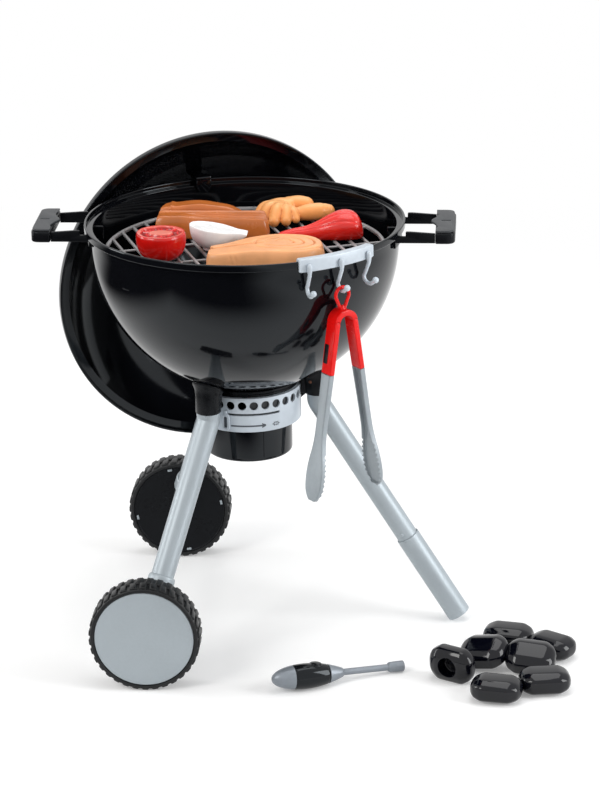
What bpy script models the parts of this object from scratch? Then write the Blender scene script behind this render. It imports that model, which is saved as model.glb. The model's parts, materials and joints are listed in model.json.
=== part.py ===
# Toy kettle barbecue with its lid hung on the back rim, tongs, lighter, coals and play food.
# Metres, +Z up. The bowl's axis is the build axis, the plain leg points to +X and the axle runs
# along Y. At the end everything moves so that the origin is under the middle of the whole box.

import math

import bmesh
import bpy
import numpy as np
from mathutils import Matrix, Vector
from mathutils.bvhtree import BVHTree

for old in list(bpy.data.objects):
    bpy.data.objects.remove(old, do_unlink=True)

parts = bpy.data.collections.new("toy_barbecue_grill")
cutters = bpy.data.collections.new("cutters")
bpy.context.scene.collection.children.link(parts)
bpy.context.scene.collection.children.link(cutters)

# Fits shared by all pieces
gap = 0.0003
overrun = 0.004
weld = 0.00002
round_steps = 32

# Bowl
rim_radius = 0.150
rim_height = 0.4045
rim_band_height = 0.0068
rim_edge = 0.0006
rim_step = 0.0059
bowl_wall = 0.0024
bowl_centre_drop = 0.0181
bowl_floor_inset = 0.006
bowl_arc_points = 6
bowl_slot_radius = 0.025
bowl_slot_length = 0.030
bowl_slot_width = 0.007
bowl_slots = 3

# Cooking grate and the lugs that carry it
grate_room = 0.0097
grate_drop = 0.0259
grate_ring_width = 0.0034
grate_bar = 0.0026
grate_ring_height = 0.0036
grate_pitch = 0.0140
grate_cross_offset = 0.026
grate_turn = math.radians(20.3)
lug_width = 0.010
lug_height = 0.009
lug_reach = 0.005
lug_azimuths = (45, 135, 225, 315)

# Legs
socket_stand = 0.016
socket_wall = 0.00125
socket_drop = 0.0207
socket_pad_margin = 0.00415
socket_pad_thickness = 0.0032
socket_web = 0.009
socket_bore_depth = 0.015
leg_splay = math.radians(31.65)
leg_bend_margin = 0.0017
wheel_leg_azimuth = math.radians(120)
wheel_leg_radius = 0.0108
plain_leg_radius = 0.0102
foot_sleeve_wall = 0.00125
foot_sleeve_length = 0.095
foot_floor = 0.009

# Axle, brackets and wheels
wheel_radius = 0.0518
wheel_width = 0.0273
wheel_tuck = 0.0024
axle_radius = 0.003
axle_end_inset = 0.0045
bracket_wall = 0.0017
bracket_top_rise = 0.0437
bracket_low_rise = 0.0312
bracket_strut_radius = 0.0082
boss_radius = 0.0085
boss_length = 0.0175
tyre_thickness = 0.0052
tread_depth = 0.0026
tread_lugs = 34
tread_top_share = 0.62
tread_step = 0.0022
body_plate = 0.0026
body_drum = 0.0026
body_inset = 0.0006
hub_radius = 0.0085
hub_proud = 0.0005
cover_clearance = 0.0005
cover_thickness = 0.0019
cover_dome = 0.0014
cover_inset = 0.0006
tab_inset = 0.0056
tab_length = 0.0052
tab_width = 0.0026

# Air ring, damper, lever, gasket and ash pan
ring_radius = 0.050
gasket_height = 0.0059
ring_height = 0.0335
ring_wall = 0.002
ring_flange = 0.0016
ring_flange_width = 0.009
ring_facets = 28
vent_hole_radius = 0.0041
vent_hole_drop = 0.0074
vent_phase = math.radians(-92.4)
slot_drop = 0.0161
slot_height = 0.0022
slot_margin = math.radians(2.5)
lever_azimuth = math.radians(-110.4)
lever_travel = math.radians(58)
lever_width = 0.0082
lever_height = 0.0170
lever_eye_width = 0.0034
lever_eye_height = 0.0112
lever_thickness = 0.002
lever_stem_width = 0.003
lever_stem_rise = 0.0042
lever_peg_height = 0.0016
gasket_width = 0.0065
gasket_inset = 0.0028
damper_wall = 0.0012
damper_low_drop = 0.0187
damper_window_drop = 0.0128
damper_windows = 3
damper_window = math.radians(57)
damper_window_start = math.radians(-142)
pan_inset = 0.0087
pan_wall = 0.002
pan_floor = 0.0022
pan_drop = 0.0334
pan_edge = 0.003
pan_grip = 0.0025

# Side handles
handle_spread = 0.0332
arm_thickness = 0.003
arm_height = 0.0108
arm_low_drop = 0.0136
saddle_thickness = 0.0024
saddle_margin = 0.003
grip_stand = 0.0285
grip_depth = 0.0183
grip_margin = 0.0036
grip_corner = 0.012
grip_low_drop = 0.0134
grip_height = 0.0102
grip_edge = 0.0012
grip_pocket = 0.009
grip_wall = 0.002
inset_thickness = 0.002
inset_border = 0.0012
inset_bulge = 0.0046
inset_bulge_half = 0.014
inset_slot_length = 0.009
inset_slot_width = 0.0024

# Lid, in the place where it hangs on the back rim
lid_fit = 0.0055
lid_azimuth = math.radians(110.9)
lid_lean = math.radians(2.2)
lid_rise = 0.050
lid_side_shift = 0.0024
lid_wall = 0.0024
lid_skirt = 0.008
lid_shoulder = 0.0075
lid_depth = 0.095
lid_arc_points = 6
hook_azimuth = math.radians(111.5)
hook_width = 0.0146
hook_bridge = 0.0045
hook_tab = 0.003
hook_tab_drop = 0.0145
lid_arm_spread = 0.030
lid_arm_height = 0.030
lid_arm_width = 0.012
lid_grip_margin = 0.011
lid_grip_side = 0.004
lid_grip_height = 0.013
lid_grip_edge = 0.003
lid_grip_pocket = 0.006

# Hook rail and its hooks
rail_azimuth = math.radians(-51.2)
rail_span = math.radians(31.1)
rail_steps = 8
rail_thickness = 0.0022
rail_outer_drop = 0.0098
rail_inner_drop = 0.0042
hook_spacing = math.radians(12.2)
hook_rod_radius = 0.0018
hook_ball_radius = 0.0029
hook_top_drop = 0.0045
hook_low_drop = 0.0321
hook_belly = 0.0063
hook_swing_out = 0.0132
hook_end_out_share = 1.15
hook_end_rise_share = 0.7

# Tongs
tongs_azimuth = math.radians(-51.2)
loop_radius = 0.0072
loop_rod_radius = 0.0016
loop_length = 0.0195
tong_thickness = 0.0055
tong_width = 0.014
crown_radius = 0.0098
neck_length = 0.0034
red_arm_length = 0.047
tong_spread = math.radians(8.8)
blade_length = 0.119
blade_depth = 0.0052
blade_wall = 0.0016
blade_teeth = 8
tooth_pitch = 0.0046
tooth_depth = 0.0022
blade_tip = 0.0108
blade_width_shares = ((0, 0.457), (0.15, 0.4), (0.36, 0.35), (0.5, 0.357), (0.6, 0.5),
                      (0.7, 0.743), (0.8, 0.829), (0.9, 0.714), (0.96, 0.514), (1.0, 0.214))

# Play food, each placed from the bowl's axis
rib_length = 0.106
rib_width = 0.043
rib_height = 0.023
rib_x = -0.0335
rib_y = 0.0375
rib_section_shares = ((-0.5, 0.0), (-0.5, 0.85), (-0.36, 1.0), (-0.2, 0.86), (-0.02, 0.98),
                      (0.28, 1.06), (0.5, 0.7), (0.5, 0.0))
rib_span_shares = ((-0.5, 0.8), (-0.42, 1.0), (0.1, 1.0), (0.43, 0.78), (0.5, 0.62))
chicken_x = 0.040
chicken_y = 0.084
chicken_lobe = 0.0135
chicken_lobe_shares = ((-1.5, -0.2, 1.25), (-0.75, -0.75, 1.2), (0.15, -1.0, 1.15),
                       (0.95, -0.75, 1.0), (0.1, 0.75, 1.2), (1.1, 1.1, 1.1), (2.1, -0.1, 1.0))
chicken_lift_share = 0.8
pepper_length = 0.080
pepper_radius = 0.0172
pepper_x = 0.0685
pepper_y = 0.0235
pepper_turn = math.radians(12)
pepper_ridges = 5
pepper_ridge_share = 0.13
pepper_lift_share = 0.52
pepper_width_share = 1.05
pepper_station_shares = ((0.0, 0.22), (0.12, 0.34), (0.3, 0.46), (0.5, 0.72), (0.7, 0.95),
                         (0.86, 1.0), (0.96, 0.82), (1.0, 0.5))
tomato_radius = 0.0235
tomato_height = 0.026
tomato_x = -0.074
tomato_y = -0.045
tomato_shares = ((0.0, 0.9), (0.3, 0.9), (0.42, 0.86), (0.78, 0.86), (0.86, 1.0), (0.97, 1.0),
                 (1.0, 0.84), (0.97, 0.5), (0.78, 0.16), (0.5, 0.0), (0.0, 0.0))
mushroom_radius = 0.0245
mushroom_height = 0.021
mushroom_x = -0.023
mushroom_y = -0.014
mushroom_shares = ((0.0, 0.96), (0.8, 0.96), (0.92, 1.0), (1.0, 0.86), (0.95, 0.5), (0.7, 0.12))
stalk_radius = 0.0095
stalk_height = 0.009
fish_length = 0.107
fish_width = 0.061
fish_height = 0.0165
fish_x = 0.0235
fish_y = -0.0475
fish_shares = ((-0.5, -0.4), (-0.42, -0.5), (-0.1, -0.5), (0.26, -0.49), (0.43, -0.38),
               (0.5, -0.14), (0.49, 0.14), (0.41, 0.36), (0.27, 0.48), (0.09, 0.5),
               (-0.1, 0.38), (-0.3, 0.16), (-0.46, 0.04), (-0.49, -0.05), (-0.4, -0.12),
               (-0.5, -0.22))
food_edge = 0.004

# Lighter on the floor
lighter_x = 0.031
lighter_y = -0.177
lighter_turn = math.radians(24.5)
lighter_length = 0.071
lighter_radius = 0.0120
lighter_nose_radius = 0.004
lighter_belly_share = 0.45
band_start = 0.021
band_end = 0.056
band_depth = 0.0016
tube_radius = 0.0031
tube_length = 0.045
cap_radius = 0.0051
cap_length = 0.0155
cap_mouth_share = 0.8
tube_entry = 0.008
button_radius = 0.0046
button_proud = 0.0014
button_place = 0.043
button_travel = 0.001

# Coals on the floor
coal_length = 0.046
coal_width = 0.033
coal_height = 0.022
coal_edge = 0.0075
coal_waist_share = 0.62
coal_wall = 0.0024
pile_x = 0.245
pile_y = -0.121
# Each coal's place from the pile's middle in coal lengths, its size, and its turns in degrees.
pile_shares = {
    "coal_front_left": (-0.152, -1.304, 1.0, (0, 0, -10)),
    "coal_front_right": (0.804, -0.891, 1.0, (0, 0, 8)),
    "coal_left": (-1.033, -0.413, 0.95, (88, 0, 150)),
    "coal_back_left": (0.087, 1.261, 1.0, (0, 0, -12)),
    "coal_back_right": (0.978, 0.826, 0.95, (0, 0, -35)),
    "coal_mid_left": (-0.435, 0.196, 1.0, (24, -12, -25)),
    "coal_mid_right": (0.533, 0.011, 1.0, (26, 4, -8)),
}

# Sizes that follow from the ones above
facet_share = math.cos(math.pi / round_steps)
bowl_radius = rim_radius - rim_step
bowl_inner = bowl_radius - bowl_wall
bowl_floor_radius = ring_radius - bowl_floor_inset
bowl_centre = rim_height - bowl_centre_drop
bowl_floor = bowl_centre - math.sqrt(bowl_radius ** 2 - bowl_floor_radius ** 2)
band_low = rim_height - rim_band_height
rim_inner = rim_radius - bowl_wall
grate_radius = bowl_inner - grate_room
grate_top = rim_height - grate_drop
ring_top = bowl_floor - gasket_height
ring_bottom = ring_top - ring_height
ring_inner = ring_radius - ring_wall
ring_flange_bore = ring_radius - ring_flange_width
gasket_radius = ring_radius - gasket_inset
pan_radius = ring_radius - pan_inset
pan_bottom = ring_bottom - pan_drop
socket_offset = ring_radius + socket_stand
socket_radius = wheel_leg_radius + socket_wall
socket_pad_radius = socket_radius + socket_pad_margin
socket_low = bowl_floor - socket_drop
foot_sleeve_radius = plain_leg_radius + foot_sleeve_wall
leg_bend_radius = wheel_leg_radius + leg_bend_margin
splay_slope = math.tan(leg_splay)
leg_corner = socket_low - leg_bend_radius * math.tan(leg_splay / 2)
axle_height = wheel_radius
axle_offset = socket_offset + (leg_corner - axle_height) * splay_slope
axle_x = axle_offset * math.cos(wheel_leg_azimuth)
wheel_inner_face = axle_offset * math.sin(wheel_leg_azimuth) - wheel_tuck
wheel_outer_face = wheel_inner_face + wheel_width
bracket_top = axle_height + bracket_top_rise
bracket_low = axle_height + bracket_low_rise
tyre_bore = wheel_radius - tyre_thickness
cover_radius = tyre_bore - cover_clearance
tab_radius = cover_radius - tab_inset
saddle_half_width = handle_spread + saddle_margin
grip_inner = rim_radius + grip_stand
grip_outer = grip_inner + grip_depth
grip_half_length = handle_spread + grip_margin
lid_radius = rim_radius + lid_fit
lid_drop = lid_radius - lid_rise
lid_grip_half_length = lid_arm_spread + lid_grip_margin
lid_grip_width = lid_arm_width + 2 * lid_grip_side
crown_drop = loop_length + neck_length + crown_radius
blade_tooth_start = blade_length - blade_tip - (blade_teeth - 1) * tooth_pitch


def make_material(name, colour, roughness, metallic=0.0):
    finish = bpy.data.materials.new(name)
    finish.use_nodes = True
    shader = finish.node_tree.nodes["Principled BSDF"]
    shader.inputs["Base Color"].default_value = (*colour, 1.0)
    shader.inputs["Roughness"].default_value = roughness
    shader.inputs["Metallic"].default_value = metallic
    finish.diffuse_color = (*colour, 1.0)
    return finish


gloss_black = make_material("gloss_black", (0.012, 0.012, 0.014), 0.12)
satin_black = make_material("satin_black", (0.016, 0.016, 0.018), 0.38)
tyre_black = make_material("tyre_black", (0.02, 0.02, 0.021), 0.55)
silver_grey = make_material("silver_grey", (0.55, 0.57, 0.59), 0.33, 0.25)
pale_silver = make_material("pale_silver", (0.68, 0.71, 0.75), 0.35, 0.1)
grate_grey = make_material("grate_grey", (0.34, 0.34, 0.36), 0.45)
inset_grey = make_material("inset_grey", (0.27, 0.28, 0.29), 0.5)
tong_red = make_material("tong_red", (0.75, 0.012, 0.01), 0.22)
tong_grey = make_material("tong_grey", (0.36, 0.37, 0.38), 0.4)
rib_brown = make_material("rib_brown", (0.56, 0.2, 0.05), 0.3)
chicken_orange = make_material("chicken_orange", (0.78, 0.38, 0.14), 0.3)
pepper_red = make_material("pepper_red", (0.6, 0.02, 0.015), 0.22)
tomato_red = make_material("tomato_red", (0.68, 0.02, 0.015), 0.2)
mushroom_white = make_material("mushroom_white", (0.8, 0.8, 0.8), 0.3)
fish_peach = make_material("fish_peach", (0.85, 0.48, 0.27), 0.4)
coal_black = make_material("coal_black", (0.012, 0.012, 0.013), 0.1)


def place(obj, finish=None, collection=parts):
    collection.objects.link(obj)
    if finish is not None:
        obj.data.materials.append(finish)
    if obj.type == 'MESH':
        obj.data.shade_smooth()
        obj.data.set_sharp_from_angle(angle=math.radians(35))
    return obj


def as_cutter(obj):
    obj.hide_render = True
    obj.display_type = 'WIRE'
    for held in list(obj.users_collection):
        held.objects.unlink(obj)
    cutters.objects.link(obj)
    return obj


def mesh_object(name, bm, finish=None):
    mesh = bpy.data.meshes.new(name)
    bm.to_mesh(mesh)
    bm.free()
    return place(bpy.data.objects.new(name, mesh), finish)


def box(name, low, high, finish=None):
    low, high = Vector(low), Vector(high)
    bm = bmesh.new()
    size = Matrix.Diagonal((*(high - low), 1.0))
    bmesh.ops.create_cube(bm, size=1.0, matrix=Matrix.Translation((low + high) / 2) @ size)
    return mesh_object(name, bm, finish)


def rod(name, radius, start, end, finish=None, sides=24):
    start, end = Vector(start), Vector(end)
    along = end - start
    turn = Vector((0, 0, 1)).rotation_difference(along).to_matrix().to_4x4()
    bm = bmesh.new()
    bmesh.ops.create_cone(bm, cap_ends=True, segments=sides, radius1=radius, radius2=radius,
                          depth=along.length,
                          matrix=Matrix.Translation((start + end) / 2) @ turn)
    return mesh_object(name, bm, finish)


def ball(name, radius, centre, finish=None, across=24, rings=12):
    bm = bmesh.new()
    bmesh.ops.create_uvsphere(bm, u_segments=across, v_segments=rings, radius=radius,
                              matrix=Matrix.Translation(centre))
    return mesh_object(name, bm, finish)


def turned(name, profile, finish=None, closed=False, steps=round_steps):
    # The profile holds (radius, height) pairs and runs down the outer side.
    mesh = bpy.data.meshes.new(name)
    edges = [(i, i + 1) for i in range(len(profile) - 1)]
    if closed:
        edges.append((len(profile) - 1, 0))
    mesh.from_pydata([(r, 0.0, z) for r, z in profile], edges, [])
    obj = place(bpy.data.objects.new(name, mesh), finish)
    screw = obj.modifiers.new("turn", 'SCREW')
    screw.steps = steps
    screw.render_steps = steps
    screw.use_merge_vertices = True
    screw.merge_threshold = weld
    screw.use_smooth_shade = True
    return obj


def tube(name, points, radius, finish=None, smoothness=4):
    curve = bpy.data.curves.new(name, 'CURVE')
    curve.dimensions = '3D'
    curve.bevel_depth = radius
    curve.bevel_resolution = smoothness
    curve.use_fill_caps = True
    spline = curve.splines.new('POLY')
    spline.points.add(len(points) - 1)
    for point, where in zip(spline.points, points):
        point.co = (*where, 1.0)
    return place(bpy.data.objects.new(name, curve), finish)


def plate(name, outline, thickness, finish=None, edge=0.0, holes=()):
    # A flat outline in the XY plane, thickened to both sides of it.
    curve = bpy.data.curves.new(name, 'CURVE')
    curve.dimensions = '2D'
    curve.fill_mode = 'BOTH'
    curve.extrude = thickness / 2 - edge
    curve.bevel_depth = edge
    curve.bevel_resolution = 1 if edge else 0
    curve.offset = -edge
    for points in (outline, *holes):
        spline = curve.splines.new('POLY')
        spline.points.add(len(points) - 1)
        for point, (x, y) in zip(spline.points, points):
            point.co = (x, y, 0.0, 1.0)
        spline.use_cyclic_u = True
    return place(bpy.data.objects.new(name, curve), finish)


def as_mesh(obj):
    # Turns a curve, or a mesh with its modifiers, into a plain welded mesh.
    bpy.context.view_layer.update()
    depsgraph = bpy.context.evaluated_depsgraph_get()
    mesh = bpy.data.meshes.new_from_object(obj.evaluated_get(depsgraph))
    name, where = obj.name, obj.matrix_world.copy()
    held = obj.users_collection[0]
    hidden = obj.hide_render
    bpy.data.objects.remove(obj, do_unlink=True)
    bm = bmesh.new()
    bm.from_mesh(mesh)
    bmesh.ops.remove_doubles(bm, verts=bm.verts, dist=weld)
    bmesh.ops.recalc_face_normals(bm, faces=bm.faces)
    bm.to_mesh(mesh)
    bm.free()
    fresh = bpy.data.objects.new(name, mesh)
    held.objects.link(fresh)
    fresh.matrix_world = where
    fresh.data.shade_smooth()
    fresh.data.set_sharp_from_angle(angle=math.radians(35))
    if hidden:
        fresh.hide_render = True
        fresh.display_type = 'WIRE'
    return fresh


def boolean(obj, other, operation='DIFFERENCE'):
    as_cutter(other)
    step = obj.modifiers.new(operation.lower(), 'BOOLEAN')
    step.operation = operation
    step.solver = 'EXACT'
    step.object = other
    return obj


def bevel(obj, width, segments=1, angle=math.radians(40)):
    step = obj.modifiers.new("bevel", 'BEVEL')
    step.width = width
    step.segments = segments
    step.limit_method = 'ANGLE'
    step.angle_limit = angle
    return obj


def loft(name, rings, finish=None):
    # Skins a row of like rings and closes both ends.
    bm = bmesh.new()
    rows = [[bm.verts.new(spot) for spot in ring] for ring in rings]
    for row, after in zip(rows, rows[1:]):
        for i in range(len(row)):
            j = (i + 1) % len(row)
            bm.faces.new((row[i], row[j], after[j], after[i]))
    bm.faces.new(rows[0][::-1])
    bm.faces.new(rows[-1])
    bmesh.ops.recalc_face_normals(bm, faces=bm.faces)
    return mesh_object(name, bm, finish)


def join_bodies(name, bodies):
    # Separate closed bodies that share one mesh, for use as a single cutter.
    bm = bmesh.new()
    for body in bodies:
        piece = body.data.copy()
        piece.transform(body.matrix_world)
        bm.from_mesh(piece)
        bpy.data.meshes.remove(piece)
        bpy.data.objects.remove(body, do_unlink=True)
    return as_cutter(mesh_object(name, bm))


def frame(name, where, parent=None):
    empty = bpy.data.objects.new(name, None)
    parts.objects.link(empty)
    if parent is not None:
        empty.parent = parent
    empty.matrix_local = where
    return empty


def hold(obj, parent):
    # Parents an object, and the cutters that its modifiers use, to a frame.
    obj.parent = parent
    for step in obj.modifiers:
        if step.type == 'BOOLEAN' and step.object.parent is None:
            hold(step.object, parent)
    return obj


def polar(radius, azimuth, height=0.0):
    return Vector((radius * math.cos(azimuth), radius * math.sin(azimuth), height))


def arc(centre, radius, start, end, count):
    return [(centre[0] + radius * math.cos(start + (end - start) * i / count),
             centre[1] + radius * math.sin(start + (end - start) * i / count))
            for i in range(count + 1)]


def stadium(width, height, steps=6):
    # An upright outline with half-round ends, centred on the origin.
    radius = width / 2
    rise = height / 2 - radius
    return (arc((0, rise), radius, 0, math.pi, steps)
            + arc((0, -rise), radius, math.pi, 2 * math.pi, steps))


def sector(radius, start, end, steps=4):
    reach = radius / math.cos((end - start) / 2 / steps)
    return [(0.0, 0.0)] + arc((0, 0), reach, start, end, steps)


# Bowl


def bowl_shell_profile():
    lowest = math.asin(bowl_floor_radius / bowl_radius)
    floor_top = bowl_floor + bowl_wall
    inner_low = math.acos((bowl_centre - floor_top) / bowl_inner)
    quarter = math.pi / 2
    inner = [(bowl_inner * math.sin(inner_low + (quarter - inner_low) * i / bowl_arc_points),
              bowl_centre - bowl_inner
              * math.cos(inner_low + (quarter - inner_low) * i / bowl_arc_points))
             for i in range(bowl_arc_points + 1)]
    outer = [(bowl_radius * math.sin(quarter - (quarter - lowest) * i / bowl_arc_points),
              bowl_centre - bowl_radius
              * math.cos(quarter - (quarter - lowest) * i / bowl_arc_points))
             for i in range(bowl_arc_points + 1)]
    ledge = band_low + bowl_wall
    rim = [(bowl_inner, ledge), (rim_inner, ledge), (rim_inner, rim_height - rim_edge),
           (rim_inner + rim_edge, rim_height), (rim_radius - rim_edge, rim_height),
           (rim_radius, rim_height - rim_edge), (rim_radius, band_low), (bowl_radius, band_low)]
    return [(0.0, floor_top)] + inner + rim + outer + [(0.0, bowl_floor)]


def make_bowl():
    bowl = turned("bowl", bowl_shell_profile(), gloss_black)
    slots = []
    for i in range(bowl_slots):
        cutter = plate("bowl_slot", stadium(bowl_slot_width, bowl_slot_length), 2 * overrun)
        azimuth = 2 * math.pi * i / bowl_slots
        cutter.matrix_world = (Matrix.Translation(polar(bowl_slot_radius, azimuth, bowl_floor))
                               @ Matrix.Rotation(azimuth, 4, 'Z'))
        slots.append(as_mesh(cutter))
    bpy.context.view_layer.update()
    boolean(bowl, join_bodies("bowl_slots", slots))
    lug_top = grate_top - grate_ring_height - gap
    lugs = []
    for azimuth in lug_azimuths:
        lug = box("lug", (grate_radius - lug_reach, -lug_width / 2, lug_top - lug_height),
                  (bowl_inner + bowl_wall / 2, lug_width / 2, lug_top))
        lug.matrix_world = Matrix.Rotation(math.radians(azimuth), 4, 'Z')
        lugs.append(lug)
    bpy.context.view_layer.update()
    boolean(bowl, join_bodies("grate_lugs", lugs), 'UNION')
    return bowl


# Cooking grate


def make_grate():
    half = grate_ring_width / 2
    low = grate_top - grate_ring_height
    ring = [(grate_radius, grate_top - half), (grate_radius, low),
            (grate_radius - grate_ring_width, low),
            (grate_radius - grate_ring_width, grate_top - half),
            (grate_radius - half, grate_top)]
    grate = turned("cooking_grate", ring, grate_grey, closed=True, steps=32)
    middle = grate_radius - half
    count = int(middle / grate_pitch - 0.5)
    bars = []
    for i in range(-count, count + 1):
        reach = math.sqrt(middle ** 2 - (i * grate_pitch) ** 2) - grate_ring_width / 4
        bars.append(box("bar", (i * grate_pitch - grate_bar / 2, -reach, low + grate_bar / 4),
                        (i * grate_pitch + grate_bar / 2, reach, grate_top - gap)))
    bars = join_bodies("grate_bars", bars)
    crosses = []
    for side in (-1, 1):
        reach = math.sqrt(middle ** 2 - grate_cross_offset ** 2) - grate_ring_width / 4
        crosses.append(box("cross", (-reach, side * grate_cross_offset - grate_bar / 2,
                                     low + gap),
                           (reach, side * grate_cross_offset + grate_bar / 2,
                            grate_top - grate_bar / 2)))
    crosses = join_bodies("grate_cross_bars", crosses)
    for body in (bars, crosses):
        body.matrix_world = Matrix.Rotation(grate_turn, 4, 'Z')
    boolean(grate, bars, 'UNION')
    boolean(grate, crosses, 'UNION')
    return grate


# Side handles, built at +X and turned to their side


def grip_outline(inner, outer, half_length, corner):
    return (arc((outer - corner, -half_length + corner), corner, -math.pi / 2, 0, 3)
            + arc((outer - corner, half_length - corner), corner, 0, math.pi / 2, 3)
            + [(inner, half_length), (inner, -half_length)])


def inset_outline():
    inner, outer = grip_inner - gap, grip_outer - inset_border
    half = grip_half_length - inset_border
    corner = grip_corner - inset_border
    bulge = [(inner - inset_bulge * math.cos(math.pi / 2 * share),
              inset_bulge_half * -share)
             for share in (-1, -0.75, -0.4, 0, 0.4, 0.75, 1)]
    return (arc((outer - corner, -half + corner), corner, -math.pi / 2, 0, 3)
            + arc((outer - corner, half - corner), corner, 0, math.pi / 2, 3)
            + [(inner, half)] + bulge + [(inner, -half)])


def make_side_handle(side, turn):
    arm_low = rim_height - arm_low_drop
    arm_top = arm_low + arm_height
    seat = bowl_radius + gap
    saddle_low = bowl_centre + gap
    saddle_top = band_low - gap
    saddle = turned(side + "_handle_frame",
                    [(seat + saddle_thickness, saddle_top), (seat + saddle_thickness, saddle_low),
                     (seat, saddle_low), (seat, saddle_top)], satin_black, closed=True)
    window = box("saddle_window", (0, -saddle_half_width, saddle_low - overrun),
                 (rim_radius + overrun, saddle_half_width, saddle_top + overrun))
    boolean(saddle, window, 'INTERSECT')
    arms = []
    arm_start = math.sqrt(seat ** 2 - (handle_spread - arm_thickness) ** 2) + saddle_thickness / 2
    for way in (-1, 1):
        edge = sorted((way * handle_spread, way * (handle_spread - arm_thickness)))
        arms.append(box("arm", (arm_start, edge[0], arm_low),
                        (grip_inner - gap, edge[1], arm_top)))
    # Each arm ends in a lower tongue that the grip's pocket takes.
    grip_low = rim_height - grip_low_drop
    tongue_low, tongue_top = grip_low + grip_wall, grip_low + grip_height - grip_wall
    tongues = []
    for way in (-1, 1):
        edge = sorted((way * handle_spread, way * (handle_spread - arm_thickness)))
        tongues.append(box("tongue", (grip_inner - grip_pocket, edge[0], tongue_low),
                           (grip_inner + grip_pocket - gap, edge[1], tongue_top)))
    # Each arm's root is notched where it passes under the rim band.
    arms = join_bodies(side + "_handle_arms", arms)
    boolean(arms, join_bodies(side + "_handle_tongues", tongues), 'UNION')
    clear = rod("rim_clearance", rim_radius / facet_share + gap, (0, 0, band_low - gap),
                (0, 0, rim_height + overrun), sides=round_steps)
    boolean(arms, clear)
    boolean(saddle, arms, 'UNION')

    grip = plate(side + "_handle_grip",
                 grip_outline(grip_inner, grip_outer, grip_half_length, grip_corner),
                 grip_height, satin_black, edge=grip_edge)
    grip.location.z = grip_low + grip_height / 2
    grip = as_mesh(grip)
    pockets = []
    for way in (-1, 1):
        edge = sorted((way * (handle_spread + gap), way * (handle_spread - arm_thickness - gap)))
        pockets.append(box("pocket", (grip_inner - overrun, edge[0], tongue_low - gap),
                           (grip_inner + grip_pocket, edge[1], tongue_top + gap)))
    boolean(grip, join_bodies(side + "_grip_pockets", pockets))

    inset = plate(side + "_handle_inset", inset_outline(), inset_thickness, inset_grey,
                  holes=[[(x + (grip_inner + grip_outer) / 2, y) for y, x in
                          stadium(inset_slot_width, inset_slot_length)]])
    inset.location.z = grip_low + grip_height + gap + inset_thickness / 2
    inset = as_mesh(inset)
    holder = frame(side + "_handle_frame_place", Matrix.Rotation(turn, 4, 'Z'))
    for obj in (saddle, grip, inset):
        hold(obj, holder)
    hold(arms, holder)


# Leg sockets and legs, built at +X and turned to their azimuth


def leg_radius_at(height):
    return socket_offset + (leg_corner - height) * splay_slope


def leg_path(end_height):
    start = socket_low + socket_bore_depth - gap
    bend = [(socket_offset + leg_bend_radius * (1 - math.cos(leg_splay * i / 3)), 0.0,
             socket_low - leg_bend_radius * math.sin(leg_splay * i / 3)) for i in range(4)]
    return [(socket_offset, 0.0, start)] + bend + [(leg_radius_at(end_height), 0.0, end_height)]


def make_socket(name, azimuth, radius):
    column = rod(name, socket_radius, (socket_offset, 0, socket_low),
                 (socket_offset, 0, bowl_centre - bowl_radius / 2), satin_black, sides=20)
    pad = rod(name + "_pad", socket_pad_radius, (socket_offset, 0, socket_low + socket_radius),
              (socket_offset, 0, bowl_centre - bowl_radius / 2), sides=20)
    boolean(pad, ball(name + "_pad_skin", bowl_radius + socket_pad_thickness,
                      (0, 0, bowl_centre), across=32, rings=24), 'INTERSECT')
    web = box(name + "_web", (ring_radius + gap, -socket_web / 2, socket_low + gap),
              (socket_offset, socket_web / 2, bowl_centre - bowl_radius / 2))
    boolean(column, pad, 'UNION')
    boolean(column, web, 'UNION')
    boolean(column, ball(name + "_bowl_room", bowl_radius + 2 * gap, (0, 0, bowl_centre),
                         across=48, rings=36))
    boolean(column, rod(name + "_bore", radius + gap, (socket_offset, 0, socket_low - overrun),
                        (socket_offset, 0, socket_low + socket_bore_depth), sides=20))
    holder = frame(name + "_place", Matrix.Rotation(azimuth, 4, 'Z'))
    hold(column, holder)
    for step in pad.modifiers:
        step.object.parent = holder


def make_leg(name, azimuth, radius, end_height):
    leg = tube(name, leg_path(end_height), radius, silver_grey, smoothness=5)
    leg.matrix_world = Matrix.Rotation(azimuth, 4, 'Z')
    return leg


def make_foot_sleeve():
    # The sleeve's square end stands on its lowest edge.
    end_centre = foot_sleeve_radius * math.sin(leg_splay)
    along = Vector((math.sin(leg_splay), 0, -math.cos(leg_splay)))
    end = Vector((leg_radius_at(end_centre), 0, end_centre))
    start = end - along * foot_sleeve_length
    sleeve = rod("foot_sleeve", foot_sleeve_radius, start, end, silver_grey, sides=20)
    boolean(sleeve, rod("foot_bore", plain_leg_radius + gap, start - along * overrun,
                        end - along * foot_floor, sides=20))
    leg_end = end - along * (foot_floor + gap)
    make_leg("plain_leg", 0.0, plain_leg_radius, leg_end.z)
    return sleeve


# Axle brackets, axle and wheels


def wheel_leg_point(height, side):
    radius = leg_radius_at(height)
    return polar(radius, side * wheel_leg_azimuth, height)


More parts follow.
